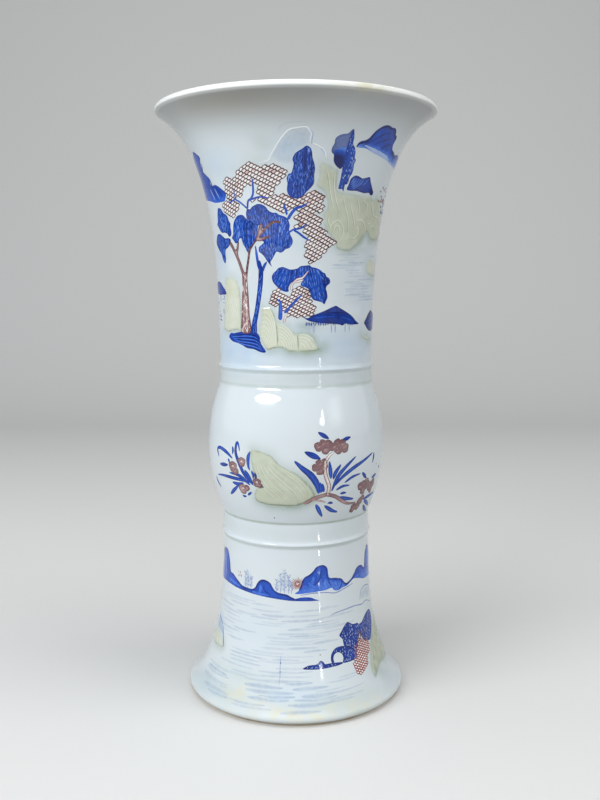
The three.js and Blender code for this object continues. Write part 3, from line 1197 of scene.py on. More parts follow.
TALL_ROCK = [
    (11.5, 378), (12.5, 385), (12, 392), (14.5, 394), (18, 393), (22, 390.5), (24.5, 389.5), (25, 380),
    (26, 376), (36, 375), (47, 374.5), (52, 375), (55, 373), (60, 374), (66, 372), (70, 368), (75, 362),
    (80, 355), (78, 348), (72, 344), (60, 343.5), (56, 346.5), (53.5, 348.5), (50, 345), (47, 341),
    (43, 338), (38, 335), (32, 335), (27, 337), (26, 341), (22, 345), (19.5, 348), (17.5, 352), (17, 357),
    (16, 360.5), (18.5, 364), (18, 370), (16, 374.5)
]
TALL_ROCK_GROOVES = [
    [(22, 348), (23, 353), (27, 356), (31, 352), (31, 346), (28, 342)],
    [(25, 349), (26, 352.5), (28, 351), (28.5, 348)],
    [(35, 368), (37, 362), (39.5, 356), (39.5, 348)],
    [(41, 356), (46, 357), (51, 352), (50, 346)],
    [(45, 370), (48, 369), (50, 366), (48, 361)],
    [(57, 352), (60, 354), (64, 352), (65, 348), (61, 346.5)],
    [(17, 390), (19, 382), (21, 372), (24, 362)],
    [(37, 345), (41, 344.5), (44.5, 348), (44, 352), (41.5, 352.5), (41, 349)],
    [(52, 371), (56, 368), (58, 362), (56, 356), (53, 357), (53.5, 361)],
    [(61, 370), (65, 366), (67, 360), (64, 356)],
    [(39.5, 373), (42, 367), (43, 361)],
    [(21, 360), (20.5, 355), (23, 350)],
    [(22, 388), (22.5, 378), (25, 368), (28, 360)],
    [(29, 373), (31, 366), (34, 358), (35, 350), (33, 342)],
    [(53, 371), (56, 365), (59, 361), (66, 360), (72, 356)],
    [(62, 371), (66, 366), (71, 362)],
]
SMALL_ROCK = [
    (57, 328), (60, 331), (64, 331), (70, 329), (75, 326), (75, 318), (68, 318), (61, 319), (57, 322)
]
SMALL_ROCK_GROOVES = [[(60, 327), (64, 328), (68, 325), (69, 321)], [(63, 321), (64, 324), (66, 323)]]
SHORE_BAR = [(53, 277.5), (58, 277), (65, 275), (72, 273.5), (75, 272), (68, 271), (60, 272), (55, 274.5)]
BULB_ROCK = [
    (-28.5, 196.5), (-24, 196.5), (-20, 195.5), (-15, 193.5), (-12, 190), (-9, 186.5), (-5, 184), (-1, 182),
    (3, 178.5), (7, 174), (10, 170), (12, 166), (12.5, 163), (9, 159.5), (5, 157), (0, 155.5), (-6, 155),
    (-18, 155.5), (-24, 156.5), (-27.5, 158.5), (-28, 163), (-27, 167), (-25, 170), (-26.5, 176),
    (-28, 183), (-28.8, 190)
]
BULB_ROCK_GROOVES = between(
    [(-14, 188.5), (-9, 184), (-3, 179.5), (3, 174), (7.5, 167.5), (8.5, 160.5)],
    [(-26, 186), (-24.5, 178), (-21, 170), (-15.5, 164), (-11, 160), (-9, 157.5)], 11
)
for number, groove in enumerate(BULB_ROCK_GROOVES):
    uneven = (0, 0.8 * math.sin(2.4 * number))
    BULB_ROCK_GROOVES[number] = groove[number % 3 // 2:6 - number % 2] + uneven
FOOT_ROCK = [
    (60, 41), (63, 47), (68, 51), (76, 56), (84, 58), (92, 54), (95, 40), (92, 28), (86, 23), (79.8, 22.2),
    (68.2, 23.5), (63, 22.5), (60.2, 21), (57, 19), (54.2, 18.2), (53, 20.5), (52.8, 26), (55.8, 34)
]
FOOT_ROCK_GROOVES = [
    [(55.5, 21), (57, 27), (60, 34), (63, 41)], [(59, 24), (62, 31), (66, 39), (70, 47)],
    [(64, 26), (68, 34), (73, 44)], [(70, 27), (74, 35), (78, 45)], [(76, 26), (79, 34), (82, 42)]
]
BOAT_ROCK = [
    (-76, 48), (-68, 47.5), (-63, 46), (-60, 43), (-58, 40.5), (-60, 38), (-66, 37.5), (-74, 36.5),
    (-82, 38), (-84, 44)
]


# Where the middle of the back's painting is, and that of the neck, which is turned a little less
BACK = 180
NECK_BACK = 172


def set_rocks(side, turn, mirror):
    """The rocks of one side, which the other side repeats turned and mirrored."""
    rocks = [
        ("left_rock", LEFT_ROCK, LEFT_ROCK_GROOVES, [], 0.3, 0.5, 0.45, 0.6, 1.2),
        ("centre_rock", CENTRE_ROCK, CENTRE_ROCK_GROOVES, CENTRE_ROCK_FOLDS, 0.35, 0.95, 0.5, 0.8, 0.8),
        ("tall_rock", TALL_ROCK, TALL_ROCK_GROOVES, [], 0.35, 0.7, 0.72, 1.5, 2.0),
        ("small_rock", SMALL_ROCK, SMALL_ROCK_GROOVES, [], 0.25, 0.5, 0.5, 0.8, 1.8),
        ("shore_bar", SHORE_BAR, [], [], 0.2, 0.6, 0.4, 0.0, 1.2),
        ("bulb_rock", BULB_ROCK, BULB_ROCK_GROOVES, [], 0.35, 0.9, 0.68, 0.7, 0.8),
        ("foot_rock", FOOT_ROCK, FOOT_ROCK_GROOVES, [], 0.35, 0.5, 0.85, 1.0, 2.0),
        ("boat_rock", BOAT_ROCK, [], [], 0.25, 0.5, 0.5, 0.0, 1.8),
    ]
    for name, outline, grooves, folds, *look in rocks:
        where = BACK if mirror and name in ("bulb_rock", "foot_rock", "boat_rock") else turn
        ROCKS.append(Rock(f"{side}_{name}", outline, grooves, folds, where, mirror, look))


set_rocks("front", 0, False)
set_rocks("back", NECK_BACK, True)


def make_rock(rock):
    """The rock's own skin: darker in a ring just inside its outline and, with painted shade, along its lower
    right edge; combed lines raised on it with a painted highlight on their left and painted shade on their
    right; and folds with painted shade.
    """
    layer = Layer(rock.name, ROCK_GLAZE, 0.02)
    places, faces, depth = filled([rock.outline], 1.2)
    # Pooled glaze and painted shade: darker along the lower right edge, where a place a little to the right
    # and below lies outside the rock
    under = depth_inside(places * (rock.wide, 1) + (0.7, -0.9), rock.ring)
    rim = 0.2 * np.exp(-((depth - 1.0) / 0.8) ** 2)
    tones = rock.tone + rim + 0.75 * np.exp(-np.maximum(under, 0) / 0.55)
    layer.add(places, faces, np.clip(tones, 0, 1), -0.1 * (depth < 0.05))
    # Painted shade in each fold; on each combed line a painted highlight on its left and painted shade on its
    # right
    fold = np.clip(rock.tone + np.array([0.0, 0.2, 0.6, -0.1, 0.0]), 0, 1)
    comb = np.clip(rock.tone + rock.comb * np.array([0.0, -0.2, -0.26, 0.3, 0.0]), 0, 1)
    for line in rock.folds:
        layer.ribbon(line, 2.6, ACROSS, fold, (-0.02, 0.02, 0.0, 0.04, -0.02))
    for line in rock.grooves:
        layer.ribbon(line, 1.6, ACROSS, comb, rock.comb * np.array([-0.03, 0.02, 0.05, 0.02, -0.03]))
    piece = layer.make(normals=False)
    degrees, heights = np.concatenate(layer.places).T
    deep = np.maximum(depth_inside(rock.flat(degrees, heights), rock.ring), 0)
    add_attribute(piece, "cover", 1 - np.exp(-(deep / rock.fade) ** 1.5))


# Bodies

def footring_inside(height):
    return FOOT_RING_RADIUS - FOOT_RING_WIDTH - FOOT_RING_LEAN * height / FLOOR_LOW


def make_neck():
    outside = even_steps(NECK_LINE, WALL_STEP, [UPPER_RIB_MIDDLE, MOUTH_TOP])
    face = (LIP_CENTRE[0], MOUTH_TOP - LIP_FACE)
    undercut = arc(face, LIP_RADIUS, -MOUTH_FLARE, 0, LIP_UNDERCUT / LIP_RADIUS)
    over = arc(face, LIP_RADIUS, 0, math.pi / 2, LIP_FACE / LIP_RADIUS)
    within = arc(LIP_CENTRE, LIP_RADIUS, math.pi / 2, math.pi - MOUTH_FLARE)
    lip = np.concatenate([undercut, over[1:], within[1:]])
    inside = walled(even_steps(neck_outside()[0], INSIDE_STEP), NECK_WALL, 2 * LIP_RADIUS)
    inside[0] = (NECK_RADIUS - NECK_WALL, NECK_JOIN_TOP)
    outline = ring_outline(np.concatenate([outside[:-1], lip]), inside[:-1][::-1])
    turned_body("neck_body", "neck_section", outline, [GLAZE])


def make_bulb():
    creases = [LOWER_RIB_MIDDLE, LOWER_CREASE, UPPER_CREASE, UPPER_RIB_MIDDLE]
    outside = even_steps(BULB_LINE, WALL_STEP, creases)
    inside = even_steps(bulb_outside(), INSIDE_STEP)
    inside[:, 0] -= np.linspace(WAIST_WALL, NECK_WALL, len(inside))
    turned_body("bulb_body", "bulb_section", ring_outline(outside, inside[::-1]), [GLAZE])


def make_foot():
    wall = even_steps(FOOT_LINE, WALL_STEP, [LOWER_RIB_MIDDLE])[::-1]
    edge = arc(FOOT_EDGE_CENTRE, FOOT_EDGE_ROUNDING, -FOOT_EDGE_TUCK, FOOT_FLARE)
    tuck = even_steps(np.array([[FOOT_RING_RADIUS, OUTER_HEEL], edge[0]]), FINE_STEP)
    heel = np.array([[FOOT_RING_RADIUS - OUTER_HEEL, 0.0]])
    outside = np.concatenate([heel, tuck[:-1], edge, wall[1:]])
    inside = walled(even_steps(foot_outside()[0], INSIDE_STEP), WAIST_WALL, FOOT_WALL)
    inside[0] = (WAIST_RADIUS - WAIST_WALL, FOOT_TOP)
    inside = inside[inside[:, 1] > FLOOR_TOP + 1]
    recess = footring_inside(FLOOR_LOW)
    corner = [(inside[-1, 0] + 1.0, FLOOR_TOP), (recess, FLOOR_TOP), (recess, FLOOR_LOW)]
    ring = [(footring_inside(HEEL), HEEL), (footring_inside(0) + HEEL, 0.0)]
    outline = ring_outline(outside, np.concatenate([inside, corner, ring]))
    turned_body("foot_body", "foot_section", outline, [GLAZE, BARE_CLAY], bare_below=2.6)


def make_rib(name, node, line, wall):
    inside = line[::2].copy()
    share = (inside[:, 1] - line[0, 1]) / (line[-1, 1] - line[0, 1])
    inside[:, 0] = line[0, 0] - rib_swell(line[0, 1]) - wall - SQUEEZE_OUT * np.sin(math.pi * share) ** 2
    turned_body(name, node, ring_outline(line, inside[::-1]), [GLAZE])


make_foot()
make_rib("lower_rib_body", "lower_rib", LOWER_RIB_LINE, WAIST_WALL)
make_bulb()
make_rib("upper_rib_body", "upper_rib", UPPER_RIB_LINE, NECK_WALL)
make_neck()
for carried in ("floor_disc", "floor_seam"):
    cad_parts[carried].data.materials.clear()
    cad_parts[carried].data.materials.append(GLAZE if carried == "floor_disc" else BARE_CLAY)


# The painting of the neck

def tree_nets(brush):
    """The net-like red crowns, and the branches over them."""
    upper_net = [
        (-46.5, 384), (-44, 385.5), (-40, 385), (-36, 386), (-35.5, 389.5), (-33, 391), (-30, 391.5),
        (-28.5, 393.5), (-26.5, 395), (-24, 393.8), (-21.5, 392.5), (-20, 390.5), (-17, 391), (-12, 392.2),
        (-8.5, 391), (-5.5, 389), (-4.5, 386.5), (-6, 383.5), (-8.5, 381), (-10.5, 379), (-11.5, 376),
        (-13.5, 373), (-15, 371.5), (-22, 371.8), (-24, 373.5), (-23, 378), (-24, 381), (-26, 379.5),
        (-29, 379), (-32, 378), (-33, 374), (-34, 370.5), (-36, 371.5), (-38, 373), (-42, 370.5),
        (-46, 372), (-46.5, 377)
    ]
    left_net = [
        (-51.5, 369), (-49, 370.5), (-44, 370.5), (-38, 369), (-36, 367.5), (-38.5, 364.5), (-39.5, 362),
        (-42, 359.5), (-45, 358.5), (-48, 361), (-51, 363.5), (-52, 366)
    ]
    right_net = [
        (-28, 370), (-20, 370.5), (-14, 371.5), (-10, 372.5), (-7, 373), (-4, 371.5), (0, 370), (4, 371.5),
        (7, 373), (10, 374.5), (14, 375), (16.5, 373), (17.5, 370), (16, 367.5), (18, 366), (17.5, 363.5),
        (15, 361.5), (12, 360), (14, 357.5), (16.5, 356.5), (15.5, 353), (17, 350), (20, 348), (20.5, 345),
        (24, 343.5), (26, 341.5), (26, 339.5), (22.5, 337), (19, 336.5), (19.5, 334), (17, 331), (13, 328),
        (10, 327), (8, 329.5), (6, 331.5), (7, 334.5), (5, 338), (6, 341.5), (9, 343), (6, 346), (5, 349),
        (3, 351), (-2, 350.5), (1, 353.5), (3, 355.5), (0, 357), (1, 359.5), (4, 361.5), (0, 362.5),
        (-4, 363), (-6, 361), (-8, 360.5), (-9.5, 363), (-13, 363), (-15, 364), (-18, 367), (-22, 369),
        (-28, 368.5)
    ]
    for net in (upper_net, left_net, right_net):
        fish_scales(brush, net)
    branches = [
        ([(-31, 364), (-30, 369), (-27.5, 371), (-26, 374.5), (-25.5, 382), (-26, 385)], 1.5),
        ([(-29.5, 369.5), (-22, 371.5), (-16, 370.5)], 1.3),
        ([(-31, 364), (-34, 367), (-37, 369.5), (-39, 371), (-40, 379)], 1.2),
        ([(-45, 369), (-42, 370), (-39, 371)], 1.0),
        ([(-5, 356), (-3.5, 359), (0, 363.5), (4, 365), (7, 367)], 2.0),
        ([(-5.5, 359), (-6, 362), (-7.5, 367)], 1.5),
        ([(-4.5, 347.5), (-1.5, 349.5), (3, 350.5), (7, 353.5)], 1.3),
        ([(-1.5, 349.3), (2, 347), (5, 344.5), (9, 342)], 1.5),
    ]
    for line, width in branches:
        twigs(brush, "cobalt_line", [line], width)


def tree_crowns(brush):
    """The blue crowns of the two trees and the leaf masses to their left."""
    left_crown = [
        (-31.5, 363), (-32.5, 360), (-32.3, 357), (-33.5, 358.5), (-35, 360), (-37.5, 360.3), (-40, 359.5),
        (-42, 357.5), (-43.8, 354.5), (-44.5, 351), (-45, 347.5), (-46.5, 345), (-45, 343), (-43.5, 341.2),
        (-42, 341.2), (-40.5, 342.3), (-39.8, 344), (-38, 344.5), (-37.5, 342.5), (-36.5, 340),
        (-35, 337.5), (-33.5, 334.5), (-32, 335.5), (-29, 339), (-26.5, 344), (-25.3, 346.5), (-25, 349),
        (-24.5, 352), (-24, 358), (-27, 361)
    ]
    right_crown = [
        (-31.5, 364), (-29.5, 363.5), (-27.5, 365.3), (-25, 366.5), (-23, 367), (-20.5, 366.3),
        (-18.5, 364.8), (-17, 362.5), (-14.5, 361), (-12, 360.8), (-10.5, 359.5), (-8.5, 358.8),
        (-6.5, 358), (-5, 356.5), (-4.3, 354.5), (-3.8, 352), (-4.2, 349.5), (-3.5, 346), (-2.5, 344),
        (-2, 341.5), (-2.8, 339), (-4.5, 337), (-6.5, 336.5), (-8, 335), (-10, 334), (-12.5, 334.8),
        (-14, 332.5), (-15.5, 330), (-17, 327.5), (-16, 324.5), (-19, 328), (-20.5, 330.5), (-22.5, 333),
        (-24.5, 334.5), (-25, 336), (-24.5, 338), (-22, 340), (-21, 341.5), (-23, 342.5), (-24, 344),
        (-23, 346), (-21, 348), (-22, 353), (-26, 352), (-32, 352), (-32.5, 358)
    ]
    high_leaf = [
        (-57, 366.3), (-54.5, 365.3), (-52.5, 362.5), (-50.5, 361.5), (-49, 360), (-48, 357), (-46.8, 355),
        (-47, 352), (-46.5, 349), (-47.5, 346.5), (-49.5, 346), (-51, 348), (-54, 349), (-57, 349),
        (-59.5, 350.5), (-61.5, 353), (-63, 355), (-61.5, 357.5), (-61, 360.5), (-58.8, 365.5)
    ]
    low_leaf = [
        (-62, 348.5), (-59.5, 348), (-57, 346.5), (-54, 345), (-50, 345), (-48, 343.5), (-49.5, 340.5),
        (-52, 338.5), (-55, 337), (-56, 334), (-55.8, 331), (-57, 327.5), (-59, 328.5), (-60.5, 331),
        (-61.8, 334.5), (-64.5, 336.5), (-66.5, 339), (-68.5, 341), (-68.8, 343.5), (-67, 346), (-65, 348)
    ]
    foliage(brush, left_crown, (-35, 300))
    foliage(brush, right_crown, (-18, 300))
    foliage(brush, high_leaf, (-48, 325), tone=0.55)
    foliage(brush, low_leaf, (-55, 310), tone=0.55)
    leaf_shadows = [
        [(-26, 366), (-20, 360), (-15, 352), (-8, 344)], [(-24, 352), (-18, 350), (-13, 346)],
        [(-31, 356), (-28, 350), (-27, 344)]
    ]
    brush.strokes("cobalt_line", leaf_shadows, 1.6, 0.85)


def blue_tree(brush):
    forks = [[(-24.5, 322), (-26, 327), (-27.3, 339)], [(-23, 321), (-21.5, 325), (-19.5, 328)]]
    twigs(brush, "cobalt", forks, 2.0)
    blue_trunk = [
        (-33.2, 278), (-32.3, 285), (-30.2, 292), (-28.6, 300), (-27.2, 308), (-26.2, 315), (-25.7, 322),
        (-25.7, 328), (-24.3, 328.5), (-22.4, 322), (-22.7, 315), (-23.6, 308), (-25.1, 300), (-26.6, 292),
        (-28.2, 285), (-28.6, 278)
    ]
    trunk(brush, "cobalt", blue_trunk, 0.46, 0.5, (-27, 200))


def tree_bank(brush):
    """The bank that the trees stand on."""
    ground = [
        (-56.8, 275), (-54.2, 277.5), (-50, 277.6), (-46.8, 278.2), (-41, 279), (-34.8, 278.4),
        (-31, 279.4), (-28.2, 278.4), (-26, 275.5), (-26, 272.2), (-24, 269.2), (-21.5, 265.6),
        (-22.5, 264.6), (-25.8, 265), (-31, 266.8), (-37, 267.5), (-41.2, 269.2), (-45.8, 270.6),
        (-51, 271.4), (-54.5, 272.8)
    ]
    brush.fill("cobalt", ground, 0.58, 0.8)
    folds = between(
        [(-52, 276), (-44, 276.5), (-36, 277), (-29, 276), (-25, 271)],
        [(-44, 271.4), (-38, 269), (-32, 267.8), (-27, 266.4), (-23.5, 265.6)], 5
    )
    brush.strokes("cobalt_line", folds, 0.9, 0.88)
    brush.strokes("cobalt_line", [line - (0.6, 1.0) for line in folds[:4]], 0.6, 0.3)


def red_tree(brush):
    red_trunk = [
        (-41.8, 279), (-41.3, 290), (-40.8, 300), (-39.7, 310), (-39.5, 319), (-41, 324), (-42.7, 328.5),
        (-45.5, 334.8), (-49.8, 341), (-48.8, 343), (-46.4, 340.4), (-43.8, 336.6), (-42, 340.6),
        (-40.4, 342.4), (-40.8, 338), (-42, 333.4), (-40, 328), (-37.4, 321.6), (-36, 321), (-35.3, 325),
        (-34, 330.4), (-33, 335), (-31.5, 338), (-28.5, 341), (-26, 345.5), (-24.5, 350), (-23, 354),
        (-21.2, 353), (-21.5, 349.5), (-17.5, 353.5), (-13, 355.8), (-9.5, 354.8), (-10, 353.6), (-13, 354),
        (-17, 351.5), (-21.5, 347.2), (-23.5, 344.6), (-17, 345.6), (-17.2, 344.4), (-23, 342), (-26, 342),
        (-29, 338.8), (-31.2, 335), (-32.8, 328), (-34.4, 320.5), (-35, 315), (-34.5, 303.5),
        (-34.1, 291.8), (-33.2, 279)
    ]
    brush.fill("copper_line", red_trunk, 0.34, 0.84, step=1.2, edge=0.5)
    shaded_side = [
        (-41, 280), (-40.5, 290), (-40.1, 300), (-39, 310), (-38.8, 319), (-41, 325.5), (-44, 332),
        (-48.5, 340)
    ]
    brush.stroke("copper_top", shaded_side, 1.5, 0.5, 0.6, start=0.02)
    bark = [place for place in red_trunk if place[1] < 322]
    for number, line in fan_lines(brush, bark, (-37.5, 150), 0.75, inset=0.3):
        level = brush.chance.uniform(0.1, 0.2) if number % 3 == 0 else brush.chance.uniform(0.5, 0.75)
        brush.stroke("copper_top", line, brush.chance.uniform(0.35, 0.8), level)


def cypress(brush):
    outline = [
        (5.5, 403.5), (7.5, 402), (8.5, 399), (8.8, 396), (9.8, 393), (10.5, 389), (10.2, 385), (10.4, 381),
        (9.3, 378), (5.5, 373.5), (4, 371), (1, 370), (-1, 370.2), (-3, 371), (-4.6, 373), (-5.2, 376),
        (-4.8, 380), (-5.2, 383), (-4, 386), (-2.5, 386.5), (-1.2, 392), (-1.8, 395), (-0.5, 398.5),
        (1.5, 400.3), (3.5, 401.8)
    ]
    foliage(brush, outline, (4, 480), tone=0.66, reach=(2.0, 5.0), light=(0.16, 0.36))
    dark_streaks = [[(5.5, 403), (5, 396), (5, 388), (4, 380)], [(7.5, 400), (8, 392), (8, 384)]]
    brush.strokes("cobalt_line", dark_streaks, 2.0, 0.92)


def slip_mountain(brush):
    """A far mountain drawn by a raised line of slip, with haze inside it and thin blue edges at its right."""
    left_slope = [
        (-21, 393), (-15, 394.5), (-13, 398), (-11, 401.5), (-8, 406.5), (-5.5, 410), (-3, 412.8),
        (1.8, 414), (5, 414.2), (6.4, 412.6), (7.5, 410.8), (7.3, 408), (7.2, 404.5)
    ]
    right_slope = [(8, 404.5), (9.8, 404.2), (12, 403), (14.4, 401.2), (15.6, 398.6), (16.4, 396)]
    inside = [*left_slope[2:], (3, 401.5), (-1, 398), (-2, 393), (-8, 393)]
    brush.fill("wash", inside, 0.4, 0.1, edge=1.6)
    brush.slip_line(left_slope[::-1], 1.2, 0.25)
    brush.slip_line(right_slope[::-1], 1.2, 0.25)
    brush.stroke("wash", [(-9, 410), (-7, 415), (-3, 417), (5, 417.5)], 1.6, 0.22, 0.0)
    blue_edges = [
        [(6.6, 413.4), (8.2, 410.8), (8, 408), (7.9, 404.6)], [(12.2, 402.2), (14.2, 400.4), (15.4, 397.8)]
    ]
    brush.strokes("cobalt_line", blue_edges, 0.35, 0.12)


def near_tree(brush):
    """The dark tree at the top right, with its long strokes."""
    left = [
        (28, 414.5), (26, 412), (23.5, 411.3), (21, 410), (19.7, 408), (19.7, 405.5), (18.7, 402.5),
        (18.8, 400), (21, 397.5), (20.8, 394.5), (22, 392.5), (24, 390.6), (25.5, 390.5), (26.3, 392),
        (27, 400), (28, 408)
    ]
    right = [
        (28, 414.5), (29, 413), (29.8, 409.5), (30, 406), (31.5, 404), (32.7, 401), (33, 397.5), (34, 396),
        (33.3, 393), (33.5, 390), (33, 387), (31.8, 384.5), (31.5, 381.5), (30.3, 380), (29.5, 380),
        (29, 376), (28.5, 375.5), (28, 377), (25.5, 377), (25.8, 381), (26.2, 385), (26.5, 395), (27, 405)
    ]
    dark = [
        (20.4, 401), (20.3, 398), (20.5, 395), (21.3, 393), (23, 391), (24.8, 389.8), (26, 390.5),
        (26.7, 393), (26.8, 399), (26.5, 403), (24, 403.5), (22, 402)
    ]
    brush.fill("thin", left, 0.5, 0.66)
    foliage(brush, right, (28, 500), tone=0.6, spacing=0.5, reach=(1.2, 2.6), light=(0.04, 0.3))
    brush.fill("cobalt_line", dark, 1.0, 0.85, tone_at=paling(402.5, -5, 0.3))


def small_pavilion(brush):
    roof = [
        (31.2, 376.8), (32, 380.2), (32.8, 383.6), (34.2, 385.4), (36, 386.4), (38.5, 386), (41.5, 385),
        (44.2, 385.6), (47.5, 386.4), (48.8, 384.2), (50.8, 381.2), (53, 378), (54, 376), (52.5, 374.8),
        (49.5, 376), (45, 375.5), (41.2, 376), (38, 376.4), (34.5, 376.3)
    ]
    brush.fill("cobalt", roof, 0.76, 0.92)
    tiles = between([(35.8, 385.2), (34.6, 383), (33.2, 381)], [(43, 384.8), (40.4, 380.8), (35.2, 377.2)], 5)
    brush.strokes("cobalt_line", tiles, 0.65, 0.28)
    brush.strokes("cobalt_line", [[(46.6, 385), (44.8, 382.4), (42.6, 380.4)]], 0.6, 0.35)
    brush.fill("cobalt_line", [(50, 378.6), (53, 378.2), (54, 376), (52.5, 374.6), (50.2, 375.6)], 1.0)


def right_mountain(brush):
    outline = [
        (32.5, 404.2), (34, 406.8), (37, 408), (39.5, 410), (41, 413), (43, 416), (45.5, 418.2),
        (48.5, 419), (51.5, 418.2), (54, 418.3), (56, 417), (57.5, 415), (59.5, 414.3), (60.3, 412),
        (60.3, 409), (62, 406.5), (65, 405.5), (68.5, 404), (71, 404.8), (75, 405), (79, 404), (84, 401),
        (86, 398), (80, 396.5), (68, 397.2), (60, 399), (52, 400.5), (45, 402), (39, 404), (35, 404)
    ]
    brush.fill("cobalt", outline, 0.6, 0.8, tone_at=paling(409.64, 5.5, 0.12, slant=-0.17))
    brush.stroke("cobalt_line", outline[:14], 2.0, 0.95, 0.8, start=0.1, end=0.2)
    ridges = [
        [(36, 405.5), (42, 409.5), (48, 414), (53, 416)], [(44, 407), (51, 411), (56, 412.5)],
        [(50, 405), (55, 408.5), (59, 409)]
    ]
    brush.strokes("cobalt_line", ridges, 1.6, 0.8, 0.6)
    for start in np.arange(36, 58, 2.2):
        lower = 404.6 - 0.2 * (start - 32)
        streak = [(start, lower + 2.6), (start + 4, lower + 1.0), (start + 9, lower - 1.8)]
        brush.stroke("cobalt_line", streak, brush.chance.uniform(0.6, 1.2), 0.1)
    far_lines = [[(61, 406), (64, 404), (70, 402)], [(69, 404), (67, 401), (69, 398.5)]]
    brush.strokes("cobalt_line", far_lines, 1.2, 0.9)


def left_mountain(brush):
    outline = [
        (-76, 406), (-72, 407), (-69, 405), (-65.5, 402), (-67.5, 399), (-68.5, 395), (-68, 392.5),
        (-65, 390), (-61.2, 386.5), (-62, 384), (-60.5, 381.5), (-57, 382.2), (-53.5, 381), (-50, 378.5),
        (-48, 377), (-46.8, 375), (-48.5, 371.5), (-50, 370.2), (-57, 370), (-62, 370.5), (-67, 371.8),
        (-76, 373.5), (-86, 378), (-90, 386), (-84, 398)
    ]
    brush.fill("cobalt", outline, 0.62, 0.82, tone_at=paling(368.5, 8, 0.35))
    ridges = [
        [(-61, 386), (-60, 380), (-58, 374)], [(-66, 398), (-70, 388), (-66, 378)],
        [(-57, 381), (-53, 377), (-50, 373)]
    ]
    brush.strokes("cobalt_line", ridges, 1.5, 0.85)
    pale_streaks = [[(-58, 380), (-56, 376), (-54, 372)], [(-64, 380), (-62, 376), (-60, 372)]]
    brush.strokes("cobalt_line", pale_streaks, 0.8, 0.1)


def great_roof(brush):
    """A wide hipped roof with a fringe of eaves and faint posts below."""
    outline = [
        (5, 289.8), (8, 289), (12, 291), (16, 292.5), (20, 294), (24, 295.8), (27, 297), (29, 297.5),
        (31, 296.5), (35, 294.5), (40, 292), (44, 289.5), (47.5, 286.5), (51, 284.3), (47, 284),
        (41, 284.2), (37, 285), (35, 283.5), (31, 284.5), (26, 285), (21, 285.3), (16, 285.6), (11, 286.5),
        (8, 287.5)
    ]
    brush.fill("cobalt", outline, 0.78, 0.92)
    roof_ridges = [
        [(20, 293.3), (26, 292.8), (33, 292.6), (38, 292.2)], [(29, 296.8), (30, 291), (32, 287)]
    ]
    brush.strokes("cobalt_line", roof_ridges, 0.6, 1.0)
    roof_lights = [[(12, 289), (20, 289.8), (28, 290)], [(33, 289.5), (38, 288.5), (43, 287)]]
    brush.strokes("cobalt_line", roof_lights, 0.9, 0.55)
    for eave in np.arange(7, 49, 1.25):
        drop = brush.chance.uniform(1.4, 2.8)
        brush.stroke("cobalt", [(eave, 286.2), (eave + 0.1, 285.2), (eave, 286 - drop)], 0.75, 0.8)
    for post in (8.2, 9.5, 12, 12.8, 25.5, 28.5, 37, 41):
        brush.stroke("thin", [(post, 284.5), (post, 282), (post + 0.1, 278.5)], 0.8, 0.16)


def boat(brush):
    hull = [
        (58.5, 284.7), (61, 287.5), (64, 290.5), (68, 293), (71, 293.7), (74, 292.5), (80, 290), (86, 286),
        (82, 281), (75, 278.6), (68, 278.7), (64, 280.3), (61, 282.5)
    ]
    brush.fill("cobalt", hull, 0.85, 0.98)
    planks = [[(64, 285), (70, 287), (78, 286)], [(66, 282), (72, 283), (79, 283)]]
    brush.strokes("cobalt_line", planks, 0.8, 0.4)


def far_village(brush):
    """The roof, posts and strokes near the left edge."""
    roof = [
        (-75, 314.5), (-71, 314.6), (-67.5, 313.7), (-64.5, 311.7), (-61.5, 309.5), (-59.5, 308),
        (-58.3, 306), (-60, 305.2), (-66, 305.1), (-71, 304.8), (-76, 305.5), (-84, 306), (-86, 308),
        (-80, 313)
    ]
    brush.fill("cobalt", roof, 0.7, 0.9)
    posts = [
        [(-62.5, 305), (-62.5, 303.5), (-62.4, 302)], [(-64, 295), (-64, 293), (-64, 291)],
        [(-70, 304.5), (-70, 302), (-70, 300)]
    ]
    brush.strokes("cobalt", posts, 0.8, 0.6)
    shore_lines = [[(-66, 299.5), (-63, 299.2), (-60.5, 299)], [(-67, 302), (-63, 301.8), (-60, 301.5)]]
    brush.strokes("wash", shore_lines, 1.0, 0.9, 0.1)
    reeds = [[(-75, 291), (-72, 289.5), (-69, 288.5)], [(-74, 287), (-71, 286.5), (-69, 286)]]
    brush.strokes("cobalt", reeds, 0.9, 0.8)


